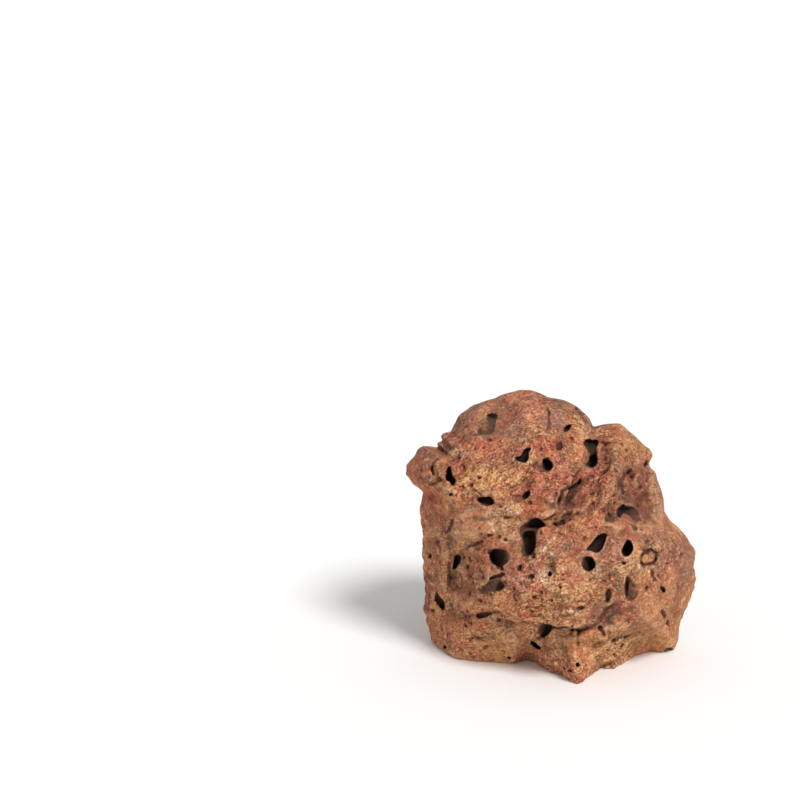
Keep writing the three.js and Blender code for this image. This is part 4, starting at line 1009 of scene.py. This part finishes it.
# Stains, painted shade and painted light: picture point, half width, half height, colour, strength
# and, if any, turn.
STAINS_AND_PAINTED_SHADING = (
    (418, 466, 8, 11, MAUVE, 0.9), (411, 474, 3, 6, ROSE, 0.4), (479, 425, 13, 13, OLIVE, 0.8),
    (466, 424, 5, 8, LILAC, 0.5), (486, 407, 6, 2.5, SALMON, 0.6, 25), (507, 411, 8, 5, MAUVE, 0.8),
    (511, 427, 8, 6, LILAC, 0.8), (517, 395, 8, 4, SALMON, 0.9), (530, 408, 5, 9, SALMON, 0.7),
    (552, 407, 5, 3, OLIVE, 0.8), (553, 421, 7, 7, LILAC, 0.9), (492, 450, 17, 6, ROSE, 0.9),
    (492, 461, 10, 5, SALMON, 0.8), (525, 484, 6, 10, RUST, 0.7, -20), (514, 492, 7, 4, ROSE, 0.5),
    (460, 447, 7, 5, RUST, 0.6), (447, 462, 4, 9, UMBER, 0.4), (491, 481, 17, 10, GOLD, 0.9, 10),
    (456, 492, 4, 4, ROSE, 0.6), (469, 510, 6, 2.5, MAUVE, 0.8, 28), (433, 503, 5, 5, RUST, 0.8),
    (437, 527, 6, 8, OLIVE, 0.6), (424, 531, 3, 4, RUST, 0.7), (475, 527, 9, 6, SAND, 1, 5),
    (494, 531, 8, 5, OCHRE, 0.7), (504, 514, 10, 2.5, SAND, 0.6), (528, 508, 4, 5, RUST, 0.8),
    (545, 445, 10, 6, RUST, 0.8), (545, 484, 10, 7, ROSE, 0.8, 35), (550, 508, 5, 5, SAND, 0.7, 20),
    (571, 466, 8, 9, ROSE, 1, -30), (572, 482, 9, 5, RUST, 0.6, 30), (562, 444, 4, 8, OLIVE, 0.5),
    (572, 426, 5, 8, OCHRE, 0.7, 30), (586, 431, 4, 5, RUST, 0.6, 30), (590, 452, 4, 10, UMBER, 0.8),
    (601, 448, 5, 9, MAUVE, 0.8), (605, 468, 4, 6, ROSE, 0.7), (592, 484, 7, 15, ROSE, 0.8, -35),
    (566, 503, 8, 11, UMBER, 1, -25), (566, 503, 7, 10, MAUVE, 0.4, -25), (629, 446, 12, 7, OCHRE, 0.6),
    (613, 480, 5, 12, OCHRE, 1, -10), (618, 462, 4, 8, SAND, 0.8), (630, 480, 5, 7, UMBER, 0.7),
    (641, 498, 13, 17, MAUVE, 1, 10), (640, 492, 8, 10, WINE, 0.5, 10), (659, 500, 2, 14, SAND, 0.7, 5),
    (610, 526, 6, 3, SAND, 0.9), (641, 526, 6, 3, SAND, 0.9), (624, 518, 3, 2.4, SALMON, 0.8),
    (612, 548, 8, 10, MAUVE, 0.8), (607, 530, 5, 8, ROSE, 0.6), (590, 521, 8, 4, RUST, 0.6, -20),
    (578, 540, 9, 6, ROSE, 0.5, 30), (568, 550, 7, 4, LILAC, 0.7, 30), (665, 541, 10, 9, SAND, 0.5),
    (680, 560, 9, 12, LILAC, 0.7), (691, 566, 4, 15, OLIVE, 0.5), (671, 573, 8, 3, ROSE, 0.6, -10),
    (651, 592, 9, 12, OCHRE, 0.8, 20), (671, 604, 7, 14, OLIVE, 0.5), (649, 628, 9, 10, LILAC, 0.6),
    # The slate at (608, 613) is painted shade in a dent.
    (664, 641, 6, 6, OCHRE, 0.7), (633, 604, 4, 3, MAUVE, 0.8), (608, 613, 8, 9, SLATE, 0.95, -10),
    (560, 596, 21, 8, OCHRE, 0.8), (547, 577, 4, 4, YELLOW, 1), (527, 588, 12, 8, ROSE, 0.7),
    (524, 572, 9, 11, LILAC, 0.6), (517, 550, 6, 12, ROSE, 0.6), (505, 602, 12, 6, OCHRE, 0.7),
    (590, 642, 6, 9, ROSE, 0.6, 10), (563, 653, 14, 4, ROSE, 0.8), (585, 671, 9, 5, SALMON, 0.9),
    # Painted light where the low band faces down: the ochre at (580, 656) and the gold at (485, 656) and
    # (630, 648).
    (580, 656, 20, 9, OCHRE, 0.6), (485, 656, 30, 7, GOLD, 0.6), (532, 655, 14, 10, SALMON, 0.7),
    (630, 648, 26, 8, GOLD, 0.6), (548, 670, 12, 7, SALMON, 0.7), (448, 645, 9, 9, ROSE, 0.6),
    (566, 640, 7, 6, OLIVE, 0.5), (534, 631, 5, 5, SALMON, 0.9), (551, 646, 4, 5, WINE, 0.8),
    (510, 632, 5, 4, MAUVE, 0.9), (498, 650, 9, 5, OCHRE, 0.9), (513, 644, 4, 3, SAND, 0.8),
    (478, 628, 14, 3, RUST, 0.8), (455, 636, 12, 8, RUST, 0.6), (466, 582, 8, 11, UMBER, 0.9),
    (444, 570, 3, 13, OCHRE, 0.7), (427, 595, 3, 14, WINE, 0.8), (431, 552, 4, 9, UMBER, 0.5),
    (506, 543, 8, 3, SALMON, 0.7), (547, 551, 3, 1.6, YELLOW, 1), (545.5, 580, 4.5, 2.6, CREAM, 1, -20),
    # Painted highlight on the ledges' lips: the thin cream lines at (577, 627), (566, 612) and (617, 625).
    (549, 569, 4, 1.8, CREAM, 1, 20), (513, 539.5, 6, 3.2, CREAM, 0.6), (577, 627, 6, 1.8, CREAM, 0.9, -10),
    (566, 612, 8, 1.5, CREAM, 0.7), (617, 625, 8, 1.8, CREAM, 0.8, 10), (524, 597, 4, 3.4, OCHRE, 0.6),
    (463, 654, 6, 2.4, CREAM, 0.7, 10), (512, 642, 4, 4, CREAM, 0.5), (487, 614, 9, 1.5, ROSE, 0.8, 5),
    (456, 455, 4, 3, CREAM, 0.6), (509, 507, 8, 3, CREAM, 0.5), (470, 533, 9, 2.6, CREAM, 0.6, 5),
    (473, 522, 11, 7, CREAM, 0.5, 5), (493, 524, 9, 6, SAND, 0.8), (611, 524, 7, 2.6, CREAM, 0.5),
    (640, 523, 7, 2.4, CREAM, 0.4), (584, 432, 4, 6, CREAM, 0.5, 20), (583, 455, 2.6, 7, SALMON, 0.9),
    (546, 537, 5, 6, SALMON, 0.8), (550, 515, 9, 2.6, SAND, 0.6, 15), (655, 494, 2.6, 20, CREAM, 0.5, 10),
    # Painted light: the wide yellow band along the foot, and the yellow in the hollow at (566, 640).
    (611, 478, 8, 16, UMBER, 0.45, -10), (560, 642, 90, 13, YELLOW, 0.3), (566, 640, 8, 7, YELLOW, 0.4),
    (466, 582, 8, 11, SALMON, 0.15), (655, 612, 10, 14, YELLOW, 0.25), (665, 541, 10, 10, UMBER, 0.25),
    # Painted shade at (583, 470), (562, 431), (600, 530), (517, 538) and (598, 568), in hollows, a corner, a
    # gap and a groove; painted light at (472, 530), (596, 660) and (480, 657). The rose one is a stain.
    (583, 470, 5, 7, UMBER, 0.5), (562, 431, 7, 5, UMBER, 0.35), (600, 530, 7, 8, WINE, 0.3),
    (517, 538, 4, 12, UMBER, 0.4), (598, 568, 6, 5, UMBER, 0.35), (472, 530, 10, 10, CREAM, 0.35),
    (596, 660, 8, 6, YELLOW, 0.5), (480, 657, 30, 5, YELLOW, 0.4), (490, 462, 8, 5, ROSE, 0.5),
    (568, 466, 6, 6, RUST, 0.4), (597, 470, 5, 20, ROSE, 0.5, -15), (570, 487, 7, 5, ROSE, 0.4),
    (530, 655, 8, 4, ROSE, 0.4), (555, 665, 7, 4, ROSE, 0.4), (518, 560, 5, 10, OLIVE, 0.4),
    (577, 548, 7, 4, OLIVE, 0.4), (577, 577, 6, 4, OLIVE, 0.4), (606, 537, 6, 6, OLIVE, 0.4),
    (681, 588, 4, 12, OLIVE, 0.4), (612, 478, 6, 20, UMBER, 0.3, -10), (566, 503, 6, 10, UMBER, 0.7, -20),
    (626, 450, 16, 15, UMBER, 0.22), (640, 496, 16, 17, UMBER, 0.28), (650, 602, 13, 16, UMBER, 0.2),
    (650, 602, 13, 16, ROSE, 0.15), (594, 485, 12, 16, ROSE, 0.3), (479, 436, 10, 6, ROSE, 0.2),
    # Painted shade in the dent: the umber and slate at (608, 613).
    (640, 496, 14, 15, UMBER, 0.2), (608, 613, 7, 8, UMBER, 0.4, -10), (608, 613, 5, 6, SLATE, 0.5, -10),
    (544, 538, 5, 7, SALMON, 0.5), (482, 525, 12, 6, CREAM, 0.25), (594, 485, 10, 14, SALMON, 0.2),
    (544, 548.5, 1.5, 1, CHALK, 1), (552, 554.5, 1.1, 1.6, CHALK, 0.9, -20),
)
STAIN_AND_SHADING_BLEND = (0.2, 0.6)
STAIN_AND_SHADING_RAGGED = 0.6
# Smooth faces: the same without a colour.
SMOOTH_FACES = (
    (474, 525, 12, 8, 0.8, 5), (641, 498, 17, 21, 0.8, 10), (418, 466, 14, 22, 0.9), (436, 510, 8, 12, 0.6),
    (650, 632, 11, 15, 0.8), (608, 613, 9, 10, 0.9), (641, 526, 9, 5, 0.8), (611, 526, 7, 4, 0.8),
    (687, 565, 12, 32, 0.7), (668, 606, 9, 14, 0.6), (568, 637, 11, 9, 0.7), (498, 650, 11, 8, 0.8),
    (483, 427, 13, 13, 0.8), (508, 421, 10, 13, 0.5), (553, 418, 10, 12, 0.6), (600, 556, 14, 8, 0.6),
    (570, 548, 13, 8, 0.6, 35), (466, 577, 11, 20, 0.7), (506, 563, 10, 11, 0.8), (567, 506, 11, 10, 0.7),
    (591, 446, 8, 10, 0.8), (465, 626, 14, 5, 0.6), (548, 512, 7, 8, 0.8, 20), (632, 588, 8, 11, 0.8),
    (430, 592, 7, 30, 0.5),
)
SMOOTHEST = 0.45
SMOOTH_BLEND = (0.15, 0.7)
DRIFT_NOISE = (13, 105)
DRIFT_BLEND = (-0.6, 0.3)
DRIFT_LEAST = 0.45
FRONT_ROUGH = 0.8
EDGE_REACH = 2
NOOK_REACH = 7
HOLLOW_REACH = 15


def mix(low, high, share):
    """Blend two colours, or arrays of them, by a share for each point."""
    return np.asarray(low) + (np.asarray(high) - np.asarray(low)) * np.clip(share, 0, 1)[:, None]


def roughness(places, right, up, front):
    """Each point's share of grain: less on the smooth faces seen in front, and in drifts elsewhere."""
    drift = smooth(*DRIFT_BLEND, drawn_noise(places, GRAIN_WAY, *DRIFT_NOISE))
    rough = np.maximum(DRIFT_LEAST + (1 - DRIFT_LEAST) * drift, FRONT_ROUGH * front)
    for x, y, half_width, half_height, strength, *turn in SMOOTH_FACES:
        bell = swell_rise(right, up, x, y, half_width, half_height, 1, *turn)
        rough = rough * (1 - SMOOTHEST * strength * front * smooth(*SMOOTH_BLEND, bell))
    return rough


def stain_and_shade(places, right, up, front):
    """Every point's tone: ragged mineral patches, then the front's stains, painted shade and painted light.
    """
    def patched(tone, patches):
        for wavelengths, seed, laid_colour, level, strength in patches:
            share = drawn_noise(places, GRAIN_WAY, wavelengths, seed) + ragged
            tone = mix(tone, laid_colour, strength * smooth(level, level + PATCH_BLEND, share))
        return tone

    ragged = sum(share * drawn_noise(places, GRAIN_WAY, wavelength, seed)
                 for wavelength, share, seed in RAGGED)
    tone = patched(np.broadcast_to(OCHRE, places.shape), PATCHES)
    for x, y, half_width, half_height, laid_colour, strength, *turn in STAINS_AND_PAINTED_SHADING:
        bell = swell_rise(right, up, x, y, half_width, half_height, 1, *turn)
        share = smooth(*STAIN_AND_SHADING_BLEND, bell * (1 + STAIN_AND_SHADING_RAGGED * ragged))
        tone = mix(tone, laid_colour, share * strength * front)
    return patched(tone, FLECKS)


places = np.empty(3 * len(mesh.vertices), np.float32)
mesh.vertices.foreach_get("co", places)
places = places.reshape(-1, 3).astype(float) * METRE
right, up, ahead = front_view(places)
front = smooth(*FRONT_FADE, ahead)
solid = np.clip(0.5 - skin / GRID_STEP, 0, 1)
tone = stain_and_shade(places, right, up, front)
tones = mesh.attributes.new("tone", "FLOAT_COLOR", "POINT")
tones.data.foreach_set("color", np.insert(tone, 3, 1, axis=1).astype(np.float32).ravel())
# pit, crack, nook and hollow carry painted shade to the material, and edge both wear and a painted highlight.
for name, values in dict(
    pit=np.maximum(-sample(block, body, places), 0),
    edge=0.5 - sample(block, blur(solid, EDGE_REACH), places),
    nook=sample(block, blur(solid, NOOK_REACH), places) - 0.5,
    hollow=sample(block, blur(solid, HOLLOW_REACH), places) - 0.5,
    rim=sample(block, rims, places),
    crack=sample(block, cracks, places),
    rough=roughness(places, right, up, front),
).items():
    mesh.attributes.new(name, "FLOAT", "POINT").data.foreach_set("value", values.astype(np.float32))

# The rock
# The rock has a woolly, granular skin: fine threads of grain that lie two ways, dark seams, glints,
# pale rims, pale edges that are partly worn and partly a painted highlight, and painted shade in broad
# hollows and nooks, in the pinholes, and deepening with the pores and the cracks.
THREAD_WAYS = ((15, -38), (6, 8))
THREAD_STRETCH = 1.3
WOOL = ((400, 1), (950, 0.4))
SHADE_POWERS = (0.8, 1.15, 1.5)
BRICK = (0.46, 0.10, 0.05)
GLINT = (0.85, 0.58, 0.42)
WORN_EDGE_AND_HIGHLIGHT = (0.72, 0.42, 0.25)
PAINTED_HOLLOW_SHADE = (0.10, 0.045, 0.028)
PAINTED_NOOK_SHADE = (0.06, 0.027, 0.016)
RIM = (0.80, 0.50, 0.36)
PAINTED_PINHOLE_SHADE = (0.06, 0.026, 0.016)
SEAM = (0.09, 0.035, 0.02)
PAINTED_PIT_SHADE = (0.09, 0.045, 0.03)
PAINTED_DEEP_PORE_SHADE = (0.032, 0.016, 0.011)
PAINTED_CRACK_SHADE = (0.085, 0.028, 0.011)


class Rock:
    """The rock's material, built node by node."""

    def __init__(self, name):
        self.material = bpy.data.materials.new(name)
        self.material.use_nodes = True
        self.tree = self.material.node_tree
        self.shader = self.tree.nodes["Principled BSDF"]

    def node(self, kind, inputs=(), **settings):
        """A node's outputs, with its settings, and its inputs as numbers or as other nodes' outputs."""
        made = self.tree.nodes.new("ShaderNode" + kind)
        for name, value in settings.items():
            setattr(made, name, value)
        for socket, value in dict(inputs).items():
            if isinstance(value, bpy.types.NodeSocket):
                self.tree.links.new(value, made.inputs[socket])
            else:
                made.inputs[socket].default_value = value
        return made.outputs

    def maths(self, operation, *values):
        """A Math node's result."""
        return self.node("Math", dict(enumerate(values)), operation=operation)[0]

    def times(self, *values):
        """Two values multiplied."""
        return self.maths("MULTIPLY", *values)

    def ramp(self, value, low, high, to_low=0, to_high=1):
        """A value spread from one range to another, and kept inside it."""
        return self.node("MapRange", {0: value, 1: low, 2: high, 3: to_low, 4: to_high})[0]

    def number(self, name, kind="Fac"):
        """An attribute kept on the skin."""
        return self.node("Attribute", attribute_name=name)[kind]

    def noise(self, place, scale, detail=1, **inputs):
        """A noise."""
        return self.node("TexNoise", {"Vector": place, "Scale": scale, "Detail": detail, **inputs})

    def cells(self, place, scale, **settings):
        """A pattern of cells."""
        return self.node("TexVoronoi", {"Vector": place, "Scale": scale}, **settings)

    def channels(self, colour):
        """A colour's red, green and blue."""
        return self.node("SeparateColor", {0: colour})

    def stray(self, place, scale, far):
        """A place moved a little way by a noise."""
        noise = self.noise(place, scale)["Color"]
        lean = self.node("VectorMath", {0: noise, 1: (0.5, 0.5, 0.5)}, operation="SUBTRACT")[0]
        return self.node("VectorMath", {0: lean, 1: (far, far, far), 2: place}, operation="MULTIPLY_ADD")[0]

    def blend(self, share, low, high, way="MIX"):
        """Two colours mixed."""
        return self.node("Mix", {0: share, 6: low, 7: high}, data_type="RGBA", blend_type=way)[2]

    def tint(self, tone, colour, value, low, high, most, share=None):
        """A colour laid over the tone: up to most of it where a value is high, times a share."""
        laid = self.ramp(value, low, high, 0, most)
        return self.blend(laid if share is None else self.times(laid, share), tone, (*colour, 1))


def rock_material():
    """Rusty porous rock: the broad tone, crossed by fine threads, pale on edges, dark in the pores."""
    # The pale edges are partly wear and partly a painted highlight; the dark in the pores, hollows, nooks and
    # cracks is painted shade.
    rock = Rock("porous_rock")
    place = rock.node("TexCoord")["Object"]
    mask = rock.ramp(rock.noise(place, 40)["Fac"], 0.45, 0.55)
    lies = []
    for turn, tilt in THREAD_WAYS:
        angles = (0, math.radians(tilt), math.radians(turn))
        inputs = {"Vector": place, "Rotation": angles, "Scale": (THREAD_STRETCH, 1, 1)}
        lies.append(rock.node("Mapping", inputs, vector_type="TEXTURE")[0])
    wool = []
    for scale, distortion in WOOL:
        pair = [rock.noise(lie, scale, 2, Roughness=0.6, Distortion=distortion)["Fac"] for lie in lies]
        wool.append(rock.node("Mix", {0: mask, 2: pair[0], 3: pair[1]})[0])
    thread = rock.ramp(rock.maths("ABSOLUTE", rock.maths("SUBTRACT", wool[0], 0.5)), 0, 0.07, 1, 0)
    grain = rock.channels(rock.cells(place, 640)["Color"])
    rough = rock.number("rough")
    shade = rock.ramp(wool[1], 0.34, 0.66, 0.36, 1.66)
    shade = rock.times(shade, rock.ramp(thread, 0, 1, 0.92, 1.15))
    shade = rock.times(shade, rock.ramp(grain[2], 0, 1, 0.75, 1.25))
    shade = rock.maths("ADD", 1, rock.times(rock.maths("SUBTRACT", shade, 1), rough))
    shade = rock.times(shade, rock.ramp(rough, 0.2, 1, 0.78, 1))
    parts = [rock.maths("POWER", shade, power) for power in SHADE_POWERS]
    tone = rock.tint(rock.number("tone", "Color"), BRICK, grain[1], 0.6, 0.95, 0.15)
    tone = rock.blend(1, tone, rock.node("CombineColor", dict(enumerate(parts)))[0], "MULTIPLY")
    tone = rock.tint(tone, GLINT, grain[2], 0.9, 0.97, 0.6, thread)
    # Pale convex edges: partly wear, partly a painted highlight.
    tone = rock.tint(tone, WORN_EDGE_AND_HIGHLIGHT, rock.number("edge"), 0.05, 0.2, 0.35, rock.ramp(wool[1], 0.4, 0.6))
    # Painted shade in broad hollows and in nooks.
    tone = rock.tint(tone, PAINTED_HOLLOW_SHADE, rock.number("hollow"), -0.02, 0.15, 0.3)
    tone = rock.tint(tone, PAINTED_NOOK_SHADE, rock.number("nook"), 0.02, 0.2, 0.55)
    tone = rock.tint(tone, RIM, rock.number("rim"), 0.4, 0.9, 0.7)
    pores = rock.cells(rock.stray(place, 700, 0.0006), 270)
    size = rock.ramp(rock.channels(pores["Color"])[0], 0.55, 1, 0, 0.26)
    pinhole = rock.maths("SUBTRACT", size, pores["Distance"])
    # Painted shade in the pinholes.
    tone = rock.tint(tone, PAINTED_PINHOLE_SHADE, pinhole, 0, 0.08, 0.65)
    lumps = rock.cells(rock.stray(place, 260, 0.004), 210, feature="DISTANCE_TO_EDGE")["Distance"]
    seam = rock.times(rock.ramp(lumps, 0.02, 0.13, 1, 0), rough)
    seam = rock.times(seam, rock.ramp(rock.noise(place, 85)["Fac"], 0.45, 0.62))
    tone = rock.tint(tone, SEAM, seam, 0, 1, 0.3)
    sunk = rock.number("pit")
    # Painted shade in the pores, brown where shallow and nearly black where deep, and in the cracks.
    tone = rock.tint(tone, PAINTED_PIT_SHADE, sunk, 0.4, 2.2, 0.72)
    tone = rock.tint(tone, PAINTED_DEEP_PORE_SHADE, sunk, 1.4, 4.4, 0.95, rock.ramp(rock.number("nook"), 0.05, 0.2))
    tone = rock.tint(tone, PAINTED_CRACK_SHADE, rock.number("crack"), 0.6, 3, 0.75)
    height = rock.times(thread, 0.35)
    for part, share in ((wool[0], 1.5), (wool[1], 0.8), (seam, -0.6)):
        height = rock.maths("ADD", height, rock.times(part, share))
    height = rock.maths("SUBTRACT", height, rock.ramp(pinhole, 0, 0.12, 0, 0.6))
    strength = rock.ramp(rough, 0.3, 1, 0.5, 1)
    bump = rock.node("Bump", {"Height": height, "Strength": strength, "Distance": 0.0012})[0]
    rock.tree.links.new(tone, rock.shader.inputs["Base Color"])
    rock.tree.links.new(bump, rock.shader.inputs["Normal"])
    rock.shader.inputs["Roughness"].default_value = 0.9
    rock.shader.inputs["Specular IOR Level"].default_value = 0.25
    return rock.material


mesh.materials.clear()
mesh.materials.append(rock_material())
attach(stone, "root")
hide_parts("stone")

# The floor and the light
# A wide white floor, a soft sun over the viewer's right shoulder, and white light from all round.
# None of them belongs to the stone.
FLOOR_REACH = 20
FLOOR_WHITE = (0.97, 0.97, 0.96, 1)
SUN_FROM = (0.5, -0.62, 0.9)
SUN_STRENGTH = 2.45
SUN_SPREAD = math.radians(18)
SKY_WHITE = (1, 1, 1, 1)
SKY_STRENGTH = 0.5

floor_mesh = bpy.data.meshes.new("floor")
floor_corners = [(x * FLOOR_REACH, y * FLOOR_REACH, 0) for x, y in ((-1, -1), (1, -1), (1, 1), (-1, 1))]
floor_mesh.from_pydata(floor_corners, [], [(0, 1, 2, 3)])
floor = add_object("floor", floor_mesh)
white = bpy.data.materials.new("white_floor")
white.use_nodes = True
white.node_tree.nodes["Principled BSDF"].inputs["Base Color"].default_value = FLOOR_WHITE
white.node_tree.nodes["Principled BSDF"].inputs["Roughness"].default_value = 0.8
floor_mesh.materials.append(white)
sun = bpy.data.lights.new("sun", "SUN")
sun.energy = SUN_STRENGTH
sun.angle = SUN_SPREAD
add_object("sun", sun).rotation_euler = Vector(SUN_FROM).to_track_quat("Z", "Y").to_euler()
world = bpy.data.worlds.new("studio")
world.use_nodes = True
world.node_tree.nodes["Background"].inputs["Color"].default_value = SKY_WHITE
world.node_tree.nodes["Background"].inputs["Strength"].default_value = SKY_STRENGTH
bpy.context.scene.world = world
bpy.context.scene.view_settings.view_transform = "Standard"
